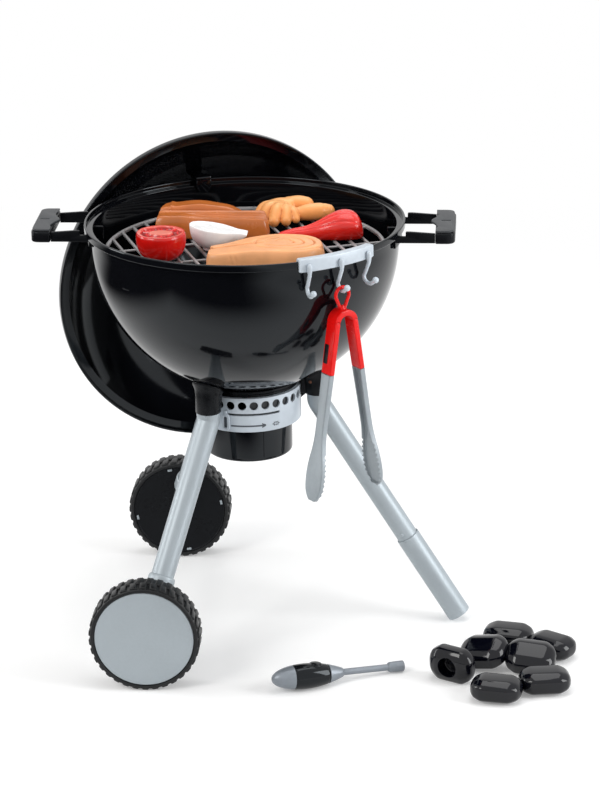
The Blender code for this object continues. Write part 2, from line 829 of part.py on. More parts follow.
def make_bracket(name, side):
    top, low = wheel_leg_point(bracket_top, side), wheel_leg_point(bracket_low, side)
    along = (low - top).normalized()
    boss_out = wheel_inner_face - hub_proud - gap
    bracket = rod(name, wheel_leg_radius + gap + bracket_wall, top, low, silver_grey, sides=16)
    strut = rod(name + "_strut", bracket_strut_radius, low - along * bracket_strut_radius,
                (axle_x, side * (boss_out - boss_length / 2), axle_height), sides=14)
    boss = rod(name + "_boss", boss_radius, (axle_x, side * (boss_out - boss_length), axle_height),
               (axle_x, side * boss_out, axle_height), sides=16)
    boolean(bracket, strut, 'UNION')
    boolean(bracket, boss, 'UNION')
    boolean(bracket, rod(name + "_leg_bore", wheel_leg_radius + gap, top - along * overrun,
                         low - along * bracket_wall * 2, sides=16))
    boolean(bracket, rod(name + "_axle_bore", axle_radius + gap,
                         (axle_x, side * (boss_out - boss_length - overrun), axle_height),
                         (axle_x, side * (boss_out + overrun), axle_height), sides=12))
    return (low - along * (bracket_wall * 2 + gap)).z


def make_axle():
    half = wheel_outer_face - axle_end_inset
    return rod("axle", axle_radius, (axle_x, -half, axle_height), (axle_x, half, axle_height),
               silver_grey, sides=12)


def tread_ring(height, phase):
    # Each lug has two top corners, and one valley point parts it from the next.
    pitch = 2 * math.pi / tread_lugs
    foot_radius = wheel_radius - tread_depth
    ring = []
    for i in range(tread_lugs):
        for radius, share in ((wheel_radius, -tread_top_share / 2),
                              (wheel_radius, tread_top_share / 2), (foot_radius, 1 / 2)):
            ring.append(polar(radius, pitch * (i + phase + share), height))
    return ring


def make_tyre(end):
    # A loft across the width: the outer row of lugs stands half a lug on from the inner row,
    # and the lugs lean over between the two rows.
    bore = tyre_bore / math.cos(math.pi / (3 * tread_lugs))
    half = wheel_width / 2
    bead = [polar(bore, math.atan2(spot.y, spot.x)) for spot in tread_ring(0, 0)]
    far_bead = [polar(bore, math.atan2(spot.y, spot.x), wheel_width)
                for spot in tread_ring(0, 1 / 2)]
    rings = [bead, tread_ring(0, 0), tread_ring(half - tread_step, 0),
             tread_ring(half + tread_step, 1 / 2), tread_ring(wheel_width, 1 / 2), far_bead]
    bm = bmesh.new()
    rows = [[bm.verts.new(spot) for spot in ring] for ring in rings]
    for row, after in zip(rows, rows[1:] + rows[:1]):
        for i in range(len(row)):
            j = (i + 1) % len(row)
            bm.faces.new((row[i], row[j], after[j], after[i]))
    bmesh.ops.recalc_face_normals(bm, faces=bm.faces)
    return mesh_object(end + "_tyre", bm, tyre_black)


def make_wheel(end, side):
    # Local +Z points away from the grill, from the wheel's inner face.
    holder = frame(end + "_wheel_place",
                   Matrix.Translation((axle_x, side * wheel_inner_face, axle_height))
                   @ Matrix.Rotation(-side * math.pi / 2, 4, 'X'))
    tyre = make_tyre(end)
    drum = tyre_bore - gap
    top = wheel_width - cover_inset - cover_thickness - gap
    body = turned(end + "_wheel_body",
                  [(drum, top), (drum, body_inset), (hub_radius, body_inset),
                   (hub_radius, -hub_proud), (axle_radius + gap, -hub_proud),
                   (axle_radius + gap, top - cover_thickness),
                   (hub_radius, top - cover_thickness), (hub_radius, body_inset + body_plate),
                   (drum - body_drum, body_inset + body_plate), (drum - body_drum, top)],
                  satin_black, closed=True, steps=20)
    slots, tabs = [], []
    for i in range(4):
        for held, room, low, high in ((slots, gap, -overrun, body_plate + overrun),
                                      (tabs, 0.0, body_inset, top + gap + cover_thickness / 2)):
            piece = box("tab", (tab_radius - tab_width / 2 - room, -tab_length / 2 - room, low),
                        (tab_radius + tab_width / 2 + room, tab_length / 2 + room, high))
            piece.matrix_world = Matrix.Rotation(math.pi / 2 * i, 4, 'Z')
            held.append(piece)
    bpy.context.view_layer.update()
    boolean(body, join_bodies(end + "_tab_slots", slots))

    face = wheel_width - cover_inset
    low_face = face - cover_thickness
    cover = turned(end + "_wheel_cover",
                   [(0.0, face + cover_dome), (cover_radius - cover_thickness, face),
                    (cover_radius, face - cover_thickness / 2), (cover_radius, low_face),
                    (cover_radius - cover_thickness, low_face),
                    (0.0, low_face + cover_dome)], silver_grey, steps=20)
    boolean(cover, join_bodies(end + "_cover_tabs", tabs), 'UNION')
    for obj in (tyre, body, cover):
        hold(obj, holder)


# Air ring group


def make_air_ring():
    lip_bore = pan_radius + gap
    lip_top = ring_bottom + ring_flange
    flange_low = ring_top - ring_flange
    corner = 1 / math.cos(math.pi / ring_facets)
    profile = [(ring_radius, ring_top), (ring_radius, ring_bottom), (lip_bore * corner,
                                                                     ring_bottom),
               (lip_bore * corner, lip_top), (ring_inner, lip_top), (ring_inner, flange_low),
               (ring_flange_bore, flange_low), (ring_flange_bore, ring_top)]
    ring = turned("air_ring", profile, pale_silver, closed=True, steps=ring_facets)
    ring.rotation_euler.z = vent_phase + math.pi / ring_facets
    holes = []
    for i in range(ring_facets):
        azimuth = vent_phase + 2 * math.pi * i / ring_facets
        height = ring_top - vent_hole_drop
        holes.append(rod("hole", vent_hole_radius, polar(ring_inner - 2 * ring_wall, azimuth,
                                                         height),
                         polar(ring_radius + overrun, azimuth, height), sides=8))
    boolean(ring, join_bodies("vent_holes", holes))
    slot = plate("lever_slot", sector(ring_radius + overrun, lever_azimuth - slot_margin,
                                      lever_azimuth + lever_travel + slot_margin), slot_height)
    slot.location.z = ring_top - slot_drop
    boolean(ring, as_mesh(slot))
    return ring


def make_gasket():
    top, low = bowl_floor - gap, ring_top + gap
    return turned("neck_gasket", [(gasket_radius, top), (gasket_radius, low),
                                  (gasket_radius - gasket_width, low),
                                  (gasket_radius - gasket_width, top)],
                  satin_black, closed=True, steps=ring_facets)


def make_damper():
    outer = ring_inner * math.cos(math.pi / ring_facets) - gap
    top = ring_top - ring_flange - gap
    low = ring_top - slot_drop - damper_low_drop + vent_hole_drop * 2
    damper = turned("damper_ring", [(outer, top), (outer, low), (outer - damper_wall, low),
                                    (outer - damper_wall, top)], inset_grey, closed=True, steps=ring_facets)
    windows = []
    for i in range(damper_windows):
        start = damper_window_start + 2 * math.pi * i / damper_windows
        window = plate("window", sector(ring_radius, start, start + damper_window),
                       2 * vent_hole_drop)
        window.location.z = ring_top - damper_window_drop + vent_hole_drop
        windows.append(as_mesh(window))
    bpy.context.view_layer.update()
    for i, window in enumerate(windows):
        window.name = "damper_window_" + str(i)
        boolean(damper, window)
    return damper


def make_lever():
    # Local X runs round the ring and local Y points away from it.
    face = ring_radius + gap
    slot_centre = ring_top - slot_drop
    low = slot_centre + lever_peg_height / 2 - lever_height
    loop = plate("vent_lever", stadium(lever_width, lever_height), lever_thickness, pale_silver,
                 holes=[stadium(lever_eye_width, lever_eye_height)])
    loop.rotation_euler.x = math.pi / 2
    loop.location = (0, face + lever_thickness / 2, low + lever_height / 2)
    loop = as_mesh(loop)
    stem = box("lever_stem", (-lever_stem_width / 2, face + gap, slot_centre
                              - lever_peg_height),
               (lever_stem_width / 2, face + lever_thickness - gap,
                slot_centre + lever_stem_rise))
    damper_face = ring_inner
    peg = box("lever_peg", (-lever_stem_width / 2, damper_face + gap / 2,
                            slot_centre - lever_peg_height / 2),
              (lever_stem_width / 2, face + lever_thickness / 2,
               slot_centre + lever_peg_height / 2))
    boolean(loop, stem, 'UNION')
    boolean(loop, peg, 'UNION')
    holder = frame("vent_lever_place", Matrix.Rotation(lever_azimuth - math.pi / 2, 4, 'Z'))
    hold(loop, holder)


def make_ash_pan():
    # The pan's upper edge is pushed up through the ring's bottom lip and held by it.
    rim = ring_bottom + ring_flange + pan_grip
    inner = pan_radius - pan_wall
    profile = [(0.0, pan_bottom + pan_floor), (inner - pan_edge, pan_bottom + pan_floor),
               (inner, pan_bottom + pan_floor + pan_edge), (inner, rim), (pan_radius, rim),
               (pan_radius, pan_bottom + pan_edge), (pan_radius - pan_edge, pan_bottom),
               (0.0, pan_bottom)]
    return turned("ash_pan", profile, gloss_black, steps=ring_facets)


# Lid, built with its rim in the XY plane and its dome towards +Z


def lid_profile():
    # From the dome's top down its outer side, round the skirt and back up inside.
    base = lid_radius - lid_shoulder
    rise = lid_depth - lid_skirt
    outer = dome_arc(base, rise, lid_skirt, lid_arc_points)
    inner = dome_arc(base - lid_wall, rise, lid_skirt - lid_wall, lid_arc_points)
    skirt = [(lid_radius - rim_edge, lid_skirt), (lid_radius, lid_skirt - rim_edge),
             (lid_radius, 0.0), (lid_radius - lid_wall, 0.0),
             (lid_radius - lid_wall, lid_skirt - lid_wall)]
    return outer[::-1] + skirt + inner


def lid_matrix():
    # The lid hangs by its hook and leans its lower side on the rear leg, so its distance from
    # the bowl's axis is the least, coming from outside, at which it clears the leg and wheel.
    dome = polar(math.cos(lid_lean), lid_azimuth, math.sin(lid_lean))
    upright = (Vector((0, 0, 1)) - dome * dome.z).normalized()
    across = upright.cross(dome)
    level = Vector((0, 0, rim_height - lid_drop)) - across * lid_side_shift
    around = np.linspace(math.pi, 2 * math.pi, 5 * round_steps)
    outside = [(r, z) for r, z in lid_profile() if r > lid_radius / 2]
    points = np.array([level + across * r * math.cos(angle) + upright * r * math.sin(angle)
                       + dome * z for r, z in outside for angle in around])
    leg_top = wheel_leg_point(leg_corner, 1)
    leg_end = wheel_leg_point(axle_height, 1)
    wheel_in = Vector((axle_x, wheel_inner_face, axle_height))
    wheel_out = Vector((axle_x, wheel_outer_face, axle_height))
    solids = ((leg_top, leg_end, wheel_leg_radius), (wheel_in, wheel_out, wheel_radius))

    def clears(distance):
        moved = points + np.array(dome) * distance
        for start, end, radius in solids:
            along = np.array((end - start).normalized())
            reach = (moved - np.array(start)) @ along
            aside = np.linalg.norm(moved - np.array(start) - np.outer(reach, along), axis=1)
            beside = (reach > -gap) & (reach < (end - start).length + gap)
            if np.any(beside & (aside < radius + gap)):
                return False
        return True

    far = 2 * rim_radius
    while clears(far - overrun):
        far -= overrun
    near = far - overrun
    while far - near > gap / 100:
        middle = (near + far) / 2
        if clears(middle):
            far = middle
        else:
            near = middle
    turn = Matrix((across, upright, dome)).transposed().to_4x4()
    return Matrix.Translation(level + dome * far) @ turn


def dome_arc(base, rise, low, count):
    ball_radius = (base ** 2 + rise ** 2) / (2 * rise)
    half = math.asin(base / ball_radius)
    centre = low + rise - ball_radius
    arc_points = [(ball_radius * math.sin(half * (1 - i / count)),
                   centre + ball_radius * math.cos(half * (1 - i / count)))
                  for i in range(count)]
    return arc_points + [(0.0, low + rise)]


def make_lid():
    place_lid = lid_matrix()
    base = lid_radius - lid_shoulder
    outer_rise = lid_depth - lid_skirt
    shell = turned("lid_shell", lid_profile(), gloss_black)
    shell.matrix_world = place_lid

    # The hook reaches from the dome over the rim, with a half-round tab inside the bowl.
    tab_face = bowl_inner * facet_share - 2 * gap
    bridge_low = rim_height + gap
    far = rim_radius + lid_depth
    bridge = box("lid_hook", (tab_face - hook_tab, -hook_width / 2, bridge_low),
                 (far, hook_width / 2, bridge_low + hook_bridge), gloss_black)
    tab = plate("lid_hook_tab", arc((0, 0), hook_width / 2, math.pi, 2 * math.pi, 8)
                + [(hook_width / 2, hook_tab_drop - hook_width / 2),
                   (-hook_width / 2, hook_tab_drop - hook_width / 2)], hook_tab)
    tab.matrix_world = (Matrix.Translation((tab_face - hook_tab / 2, 0,
                                            bridge_low + hook_bridge / 2 - hook_tab_drop
                                            + hook_width / 2))
                        @ Matrix.Rotation(math.pi / 2, 4, 'Z')
                        @ Matrix.Rotation(math.pi / 2, 4, 'X'))
    tab = as_mesh(tab)
    turn = Matrix.Rotation(hook_azimuth, 4, 'Z')
    for obj in (bridge, tab):
        obj.matrix_world = turn @ obj.matrix_world
    boolean(bridge, tab, 'UNION')
    inner_base = base - lid_wall - gap
    room = dome_arc(inner_base, outer_rise - gap, lid_skirt - lid_wall, lid_arc_points)
    hollow = turned("lid_hollow", room[::-1] + [(inner_base, -lid_depth), (0.0, -lid_depth)])
    hollow.matrix_world = place_lid
    boolean(bridge, hollow, 'INTERSECT')

    # Handle on the dome: two flat arms on a base plate and a grip across them.
    arm_low = lid_depth - lid_arm_spread ** 2 / lid_radius - lid_wall
    arm_top = lid_depth + lid_arm_height
    handle = box("lid_handle_frame", (-lid_arm_spread - arm_thickness, -lid_arm_width / 2,
                                      arm_low),
                 (lid_arm_spread + arm_thickness, lid_arm_width / 2, arm_top), satin_black)
    inside = box("lid_handle_room", (-lid_arm_spread, -lid_arm_width, lid_depth + arm_thickness),
                 (lid_arm_spread, lid_arm_width, arm_top + overrun))
    boolean(handle, inside)
    outer_room = dome_arc(base + gap, outer_rise + gap, lid_skirt, lid_arc_points)
    dome_body = turned("lid_dome_room", outer_room[::-1] + [(base, -lid_depth),
                                                            (0.0, -lid_depth)])
    boolean(handle, dome_body)
    grip_low = arm_top - lid_grip_pocket + gap
    grip = box("lid_handle_grip", (-lid_grip_half_length, -lid_grip_width / 2, grip_low),
               (lid_grip_half_length, lid_grip_width / 2, grip_low + lid_grip_height),
               satin_black)
    bevel(grip, lid_grip_edge, 2)
    pockets = []
    for way in (-1, 1):
        edge = sorted((way * (lid_arm_spread - gap), way * (lid_arm_spread + arm_thickness
                                                            + gap)))
        pockets.append(box("pocket", (edge[0], -lid_arm_width / 2 - gap, grip_low - overrun),
                           (edge[1], lid_arm_width / 2 + gap, arm_top + gap)))
    boolean(grip, join_bodies("lid_grip_pockets", pockets))
    holder = frame("lid_place", place_lid)
    hold(handle, holder)
    hold(grip, holder)


# Hook rail and hooks


def make_rail():
    outer = rim_radius + gap
    inner = rim_inner * facet_share - gap
    top = rim_height + gap
    low_out, low_in = rim_height - rail_outer_drop, rim_height - rail_inner_drop
    profile = [(outer + rail_thickness, top + rail_thickness), (outer + rail_thickness, low_out),
               (outer, low_out), (outer, top), (inner, top), (inner, low_in),
               (inner - rail_thickness, low_in), (inner - rail_thickness, top + rail_thickness)]
    bm = bmesh.new()
    face = bm.faces.new([bm.verts.new((r, 0.0, z)) for r, z in profile])
    bmesh.ops.spin(bm, geom=[face], cent=(0, 0, 0), axis=(0, 0, 1), angle=rail_span,
                   steps=rail_steps, use_merge=False, use_duplicate=False)
    bmesh.ops.recalc_face_normals(bm, faces=bm.faces)
    rail = mesh_object("hook_rail", bm, pale_silver)
    rail.rotation_euler.z = rail_azimuth - rail_span / 2
    return rail


def hook_points():
    # Radius and height of the rod's centre line, from the rail's face to the ball.
    face = rim_radius + gap + rail_thickness + gap
    top = rim_height - hook_top_drop
    low = rim_height - hook_low_drop
    stem = face + hook_rod_radius
    belly = stem - hook_belly
    bowl_side = Vector((belly, low + hook_swing_out / 2))
    turn = hook_swing_out / 2
    centre = belly + turn
    below_rail = rim_height - rail_outer_drop - hook_rod_radius
    points = [(stem, top), (stem, below_rail),
              (stem - hook_belly / 3, (below_rail + bowl_side.y) / 2 + hook_rod_radius),
              (belly + hook_belly / 6, bowl_side.y + hook_rod_radius)]
    points += [(centre - turn * math.cos(math.pi * i / 5),
                low + turn - turn * math.sin(math.pi * i / 5)) for i in range(0, 5)]
    points.append((centre + turn * hook_end_out_share, low + turn * hook_end_rise_share))
    return points


def make_hook(name, azimuth):
    path = hook_points()
    rod_piece = as_mesh(tube(name, [(r, 0.0, z) for r, z in path], hook_rod_radius, pale_silver,
                             smoothness=1))
    end = path[-1]
    boolean(rod_piece, ball(name + "_ball", hook_ball_radius, (end[0], 0, end[1]), across=8,
                            rings=5), 'UNION')
    holder = frame(name + "_place", Matrix.Rotation(azimuth, 4, 'Z'))
    hold(rod_piece, holder)


# Tongs, local X across the arms, local Y out from the bowl, Z up, origin in the hook's turn


def blade_half_width(share):
    for (a, width_a), (b, width_b) in zip(blade_width_shares, blade_width_shares[1:]):
        if share <= b:
            return (width_a + (width_b - width_a) * (share - a) / (b - a)) * tong_width
    return blade_width_shares[-1][1] * tong_width


def make_tongs():
    seat_height = rim_height - hook_low_drop + hook_rod_radius + gap + loop_rod_radius
    turn = hook_swing_out / 2
    seat_radius = (rim_radius + rail_thickness + 2 * gap + hook_rod_radius - hook_belly + turn)
    holder = frame("tongs_place",
                   Matrix.Translation(polar(seat_radius, tongs_azimuth, seat_height))
                   @ Matrix.Rotation(tongs_azimuth - math.pi / 2, 4, 'Z'))
    neck = -loop_length
    loop = arc((0, -loop_radius), loop_radius, -math.pi / 6, 7 * math.pi / 6, 10)
    foot = neck - loop_rod_radius
    ring = as_mesh(tube("tongs_loop", [(loop_rod_radius, 0, foot)]
                        + [(x, 0, z) for x, z in loop] + [(-loop_rod_radius, 0, foot)],
                        loop_rod_radius, smoothness=2))
    crown_centre = -crown_drop
    outer, inner = crown_radius + tong_thickness / 2, crown_radius - tong_thickness / 2
    outline = (arc((0, crown_centre), outer, 0, math.pi, 8)
               + arc((0, crown_centre), inner, math.pi, 0, 8))
    crown = plate("tongs_crown", outline, tong_width, tong_red)
    crown.rotation_euler.x = math.pi / 2
    crown = as_mesh(crown)
    neck_box = rod("tongs_neck", tong_thickness / 2, (0, 0, neck + loop_rod_radius),
                   (0, 0, crown_centre + crown_radius), sides=10)
    boolean(crown, neck_box, 'UNION')
    boolean(crown, ring, 'UNION')
    hold(crown, holder)
    for name, way in (("left", 1), ("right", -1)):
        pivot = Vector((way * crown_radius, 0, crown_centre))
        boolean(crown, rod("tongs_" + name + "_knuckle_room", tong_thickness / 2 + gap,
                           pivot - Vector((0, tong_width, 0)), pivot
                           + Vector((0, tong_width, 0)), sides=16))
        arm_place = frame("tongs_" + name + "_place", Matrix.Translation(pivot)
                          @ Matrix.Rotation(-way * tong_spread, 4, 'Y'), holder)
        arm_outline = (arc((0, 0), tong_thickness / 2, 0, math.pi, 6)
                       + [(-tong_thickness / 2, -red_arm_length),
                          (tong_thickness / 2, -red_arm_length)])
        arm = plate("tongs_" + name + "_arm", arm_outline, tong_width - 2 * gap, tong_red)
        arm.rotation_euler.x = math.pi / 2
        arm = hold(as_mesh(arm), arm_place)
        make_blade(name, way, arm_place)
    for step in crown.modifiers:
        step.object.parent = holder


def make_blade(name, way, arm_place):
    # The blade is a tray: its face lies outside and its edges turn towards the other arm.
    stations = 10
    shares = [i / stations for i in range(stations + 1)]
    right = [(blade_half_width(s), -s * blade_length) for s in shares]
    outline = right + [(-x, y) for x, y in reversed(right)]
    inner = [(blade_half_width(s) - blade_wall, -s * blade_length
              - (blade_wall if s == 0 else -blade_wall if s == 1 else 0)) for s in shares]
    inner = inner + [(-x, y) for x, y in reversed(inner)]
    top = -red_arm_length - gap
    turn = Matrix.Rotation(math.pi / 2, 4, 'Z') @ Matrix.Rotation(math.pi / 2, 4, 'X')
    outside = way * tong_thickness / 2
    blade = plate("tongs_" + name + "_blade", outline, blade_depth, tong_grey)
    blade.matrix_world = Matrix.Translation((outside - way * blade_depth / 2, 0, top)) @ turn
    blade = as_mesh(blade)
    tray = plate("tongs_" + name + "_tray", inner, blade_depth)
    tray.matrix_world = (Matrix.Translation((outside - way * (blade_depth / 2 + blade_wall),
                                             0, top)) @ turn)
    tray = as_mesh(tray)
    boolean(blade, tray)
    notches = []
    edge = outside - way * blade_depth
    for i in range(blade_teeth):
        height = top - blade_tooth_start - i * tooth_pitch
        notches.append(rod("notch", tooth_depth, (edge, -tong_width * 2, height),
                           (edge, tong_width * 2, height), sides=4))
    boolean(blade, join_bodies("tongs_" + name + "_notches", notches))
    hold(blade, arm_place)


# Play food on the grate


def food_frame(name, x, y, turn=0.0):
    return frame(name + "_place", Matrix.Translation((x, y, grate_top + gap))
                 @ Matrix.Rotation(turn, 4, 'Z'))


def make_rib():
    # A long slab whose front edge is a raised bar with a groove behind it.
    rows = []
    for x_share, back_share in rib_span_shares:
        row = []
        for y_share, z_share in rib_section_shares:
            depth = y_share * (back_share if y_share > 0 else 1.0)
            row.append((x_share * rib_length, depth * rib_width, z_share * rib_height))
        rows.append(row)
    obj = loft("rib_steak", rows, rib_brown)
    bevel(obj, food_edge / 2, 1)
    hold(obj, food_frame("rib_steak", rib_x, rib_y))


def make_chicken():
    # Overlapping lobes: four ridges in front, two drumstick ends behind.
    lobe = chicken_lobe
    main = None
    for i, (x, y, size) in enumerate(chicken_lobe_shares):
        radius = lobe * size
        body = ball("chicken_lobe_" + str(i), radius,
                    (x * lobe, y * lobe, radius * chicken_lift_share), across=8, rings=6)
        if main is None:
            main = body
            main.name = "chicken_piece"
            main.data.materials.append(chicken_orange)
        else:
            boolean(main, body, 'UNION')
    below = Vector((1, 1, 1)) * lobe * len(chicken_lobe_shares)
    boolean(main, box("chicken_floor", -below, (below.x, below.y, 0.0)))
    hold(main, food_frame("chicken_piece", chicken_x, chicken_y))


def make_pepper():
    # Ridged rings along X that grow from the stalk end to the shoulder.
    sides = 4 * pepper_ridges
    rings = []
    for x_share, size in pepper_station_shares:
        ring = []
        for i in range(sides):
            angle = 2 * math.pi * i / sides
            ridge = 1 - pepper_ridge_share * size * abs(math.sin(angle * pepper_ridges / 2))
            radius = pepper_radius * size * ridge
            lift = pepper_radius * size * pepper_lift_share
            ring.append(((x_share - 1 / 2) * pepper_length,
                         pepper_width_share * radius * math.cos(angle),
                         max(radius * math.sin(angle) + lift, 0.0)))
        rings.append(ring)
    obj = loft("red_pepper", rings, pepper_red)
    hold(obj, food_frame("red_pepper", pepper_x, pepper_y, pepper_turn))


def make_tomato():
    profile = [(r * tomato_radius, z * tomato_height) for r, z in tomato_shares]
    obj = turned("tomato_half", profile, tomato_red, steps=16)
    hold(obj, food_frame("tomato_half", tomato_x, tomato_y))


def make_mushroom():
    cap = [(r * mushroom_radius, stalk_height + z * mushroom_height)
           for r, z in mushroom_shares]
    stalk = [(stalk_radius, stalk_height), (stalk_radius, 0.0), (0.0, 0.0)]
    obj = turned("mushroom_half", cap + stalk, mushroom_white, steps=16)
    hold(obj, food_frame("mushroom_half", mushroom_x, mushroom_y))


def make_fish():
    # Steak outline: round back on the right, two belly flaps with a notch on the left.
    outline = [(x * fish_length, y * fish_width) for x, y in fish_shares]
    steak = plate("fish_steak", outline, fish_height, fish_peach, edge=food_edge)
    steak.location.z = fish_height / 2
    hold(as_mesh(steak), food_frame("fish_steak", fish_x, fish_y))


# Lighter, local X along its length from the rear tip


def spindle_radius(share):
    # Fuller at the rear and narrower towards the tube.
    belly = lighter_belly_share
    if share < belly:
        return lighter_radius * math.sqrt(max(1 - ((belly - share) / belly) ** 2, 0.0))
    fall = (share - belly) / (1 - belly)
    return lighter_radius + (lighter_nose_radius - lighter_radius) * fall ** 2


def make_lighter():
    # The spindle lies on its belly and the end cap touches the floor.
    belly_place = lighter_length * lighter_belly_share
    cap_place = lighter_length + tube_length
    droop = math.asin((lighter_radius - cap_radius) / (cap_place + cap_length - belly_place))
    lift = lighter_radius * math.cos(droop) + belly_place * math.sin(droop) + gap
    holder = frame("lighter_place",
                   Matrix.Translation((lighter_x, lighter_y, lift))
                   @ Matrix.Rotation(lighter_turn, 4, 'Z') @ Matrix.Rotation(droop, 4, 'Y'))
    lay = Matrix.Rotation(math.pi / 2, 4, 'Y')
    count = 8
    outline = [(spindle_radius(i / count), i / count * lighter_length)
               for i in range(count + 1)]
    rear = [(r, z) for r, z in outline if z < band_start - gap]
    front = [(r, z) for r, z in outline if z > band_end + gap]
    share_a, share_b = band_start / lighter_length, band_end / lighter_length
    middle = [(r - band_depth, z) for r, z in outline if band_start < z < band_end]
    shell_profile = (rear + [(spindle_radius(share_a), band_start),
                             (spindle_radius(share_a) - band_depth, band_start)] + middle
                     + [(spindle_radius(share_b) - band_depth, band_end),
                        (spindle_radius(share_b), band_end)] + front
                     + [(0.0, lighter_length)])
    shell = turned("lighter_shell", [(r, -z) for r, z in shell_profile], silver_grey, steps=12)
    band_outer = ([(spindle_radius((band_start + gap) / lighter_length), band_start + gap)]
                  + [(r, z) for r, z in outline if band_start + gap < z < band_end - gap]
                  + [(spindle_radius((band_end - gap) / lighter_length), band_end - gap)])
    band_profile = band_outer + [(r - band_depth + gap, z) for r, z in reversed(band_outer)]
    band = turned("lighter_band", [(r, -z) for r, z in band_profile], gloss_black, closed=True,
                  steps=12)
    flip = lay @ Matrix.Rotation(math.pi, 4, 'X')
    for obj in (shell, band):
        obj.matrix_world = flip
    top = spindle_radius(button_place / lighter_length)
    base = top - band_depth - button_travel
    button = rod("lighter_button", button_radius, (button_place, 0, base),
                 (button_place, 0, top + button_proud), gloss_black, sides=14)
    room = rod("button_room", button_radius + gap, (button_place, 0, base - button_travel
                                                    - gap),
               (button_place, 0, top + overrun), sides=14)
    boolean(shell, room)
    boolean(band, room)
    start = lighter_length - tube_entry
    rod_tube = rod("lighter_tube", tube_radius, (start + gap, 0, 0),
                   (cap_place + cap_length / 2, 0, 0), silver_grey, sides=12)
    boolean(shell, rod("tube_room", tube_radius + gap, (start, 0, 0),
                       (lighter_length + overrun, 0, 0), sides=12))
    cap = rod("lighter_tip", cap_radius, (cap_place, 0, 0), (cap_place + cap_length, 0, 0),
              silver_grey, sides=16)
    boolean(cap, rod("tip_room", tube_radius + gap, (cap_place - overrun, 0, 0),
                     (cap_place + cap_length / 2 + gap, 0, 0), sides=12))
    boolean(cap, rod("tip_mouth", tube_radius, (cap_place + cap_length * cap_mouth_share, 0, 0),
                     (cap_place + cap_length + overrun, 0, 0), sides=12))
    for obj in (shell, band, button, rod_tube, cap):
        hold(obj, holder)


# Coals: rounded pillows with a hollow underside


def make_coal(name, spot, size_share, turns):
    length, width, height = (size_share * size for size in (coal_length, coal_width, coal_height))
    bm = bmesh.new()
    bmesh.ops.create_cube(bm, size=1.0, matrix=Matrix.Diagonal((length, width, height, 1.0)))
    for vert in bm.verts:
        if vert.co.z > 0:
            vert.co.x *= coal_waist_share + (1 - coal_waist_share) / 2
            vert.co.y *= coal_waist_share
    coal = mesh_object(name, bm, coal_black)
    bevel(coal, coal_edge * size_share, 1)
    half = height / 2
    hollow = rod(name + "_hollow", width * coal_waist_share / 2, (0, 0, -half - overrun),
                 (0, 0, half - 3 * coal_wall), sides=8)
    boolean(coal, hollow)
    tilt_x, tilt_y, spin = (math.radians(angle) for angle in turns)
    holder = frame(name + "_place", Matrix.Translation(spot) @ Matrix.Rotation(spin, 4, 'Z')
                   @ Matrix.Rotation(tilt_y, 4, 'Y') @ Matrix.Rotation(tilt_x, 4, 'X'))
    hold(coal, holder)
    return coal, holder


def world_mesh(obj):
    depsgraph = bpy.context.evaluated_depsgraph_get()
    seen = obj.evaluated_get(depsgraph)
    mesh = seen.to_mesh()
    points = [obj.matrix_world @ vert.co for vert in mesh.vertices]
    faces = [tuple(face.vertices) for face in mesh.polygons]
    seen.to_mesh_clear()
    return points, faces


def settle(coal, holder, below):
    # Lowers a coal straight down until it lies a gap above the floor or the coals below it.
    bpy.context.view_layer.update()
    points, faces = world_mesh(coal)
    others = []
    for other in below:
        spots, sides = world_mesh(other)
        others.append(BVHTree.FromPolygons(spots, sides))

    def free(drop):
        moved = [point - Vector((0, 0, drop)) for point in points]
        if min(point.z for point in moved) < 0:
            return False
        tree = BVHTree.FromPolygons(moved, faces)
        return not any(tree.overlap(other) for other in others)

    step, drop = overrun / 2, 0.0
    while step > gap / 4:
        if free(drop + step):
            drop += step
        else:
            step /= 2
    lowest = min(point.z for point in points) - drop
    spare = gap if lowest > gap else 0.0
    holder.location.z -= drop - spare if spare else min(point.z for point in points)


def make_coals():
    done = []
    for name, (x_share, y_share, size_share, turns) in pile_shares.items():
        spot = (pile_x + x_share * coal_length, pile_y + y_share * coal_length, 2 * coal_length)
        coal, holder = make_coal(name, spot, size_share, turns)
        settle(coal, holder, done)
        done.append(coal)


# Whole assembly


def centre_on_floor():
    bpy.context.view_layer.update()
    low, high = Vector((math.inf,) * 3), Vector((-math.inf,) * 3)
    for obj in parts.objects:
        if obj.type in {'MESH', 'CURVE'}:
            points, _ = world_mesh(obj)
            for point in points:
                for axis in range(3):
                    low[axis] = min(low[axis], point[axis])
                    high[axis] = max(high[axis], point[axis])
    middle = (low + high) / 2
    whole = bpy.data.objects.new("grill_place", None)
    parts.objects.link(whole)
    for obj in list(parts.objects) + list(cutters.objects):
        if obj is not whole and obj.parent is None:
            obj.parent = whole
    whole.location = (-middle.x, -middle.y, 0.0)
    bpy.context.view_layer.update()


make_bowl()
make_grate()
make_side_handle("right", 0.0)
make_side_handle("left", math.pi)
make_socket("plain_leg_socket", 0.0, plain_leg_radius)
make_socket("rear_leg_socket", wheel_leg_azimuth, wheel_leg_radius)
make_socket("front_leg_socket", -wheel_leg_azimuth, wheel_leg_radius)
make_foot_sleeve()
for end, side in (("rear", 1), ("front", -1)):
    leg_end = make_bracket(end + "_axle_bracket", side)
    make_leg(end + "_leg", side * wheel_leg_azimuth, wheel_leg_radius, leg_end)
    make_wheel(end, side)
make_axle()
make_air_ring()
make_gasket()
make_damper()
make_lever()
make_ash_pan()
make_lid()
make_rail()
for name, turn in (("left_hook", -hook_spacing), ("middle_hook", 0.0),
                   ("right_hook", hook_spacing)):
    make_hook(name, rail_azimuth + turn)
make_tongs()
make_rib()
make_chicken()
make_pepper()
make_tomato()
make_mushroom()
make_fish()
make_lighter()
make_coals()
centre_on_floor()
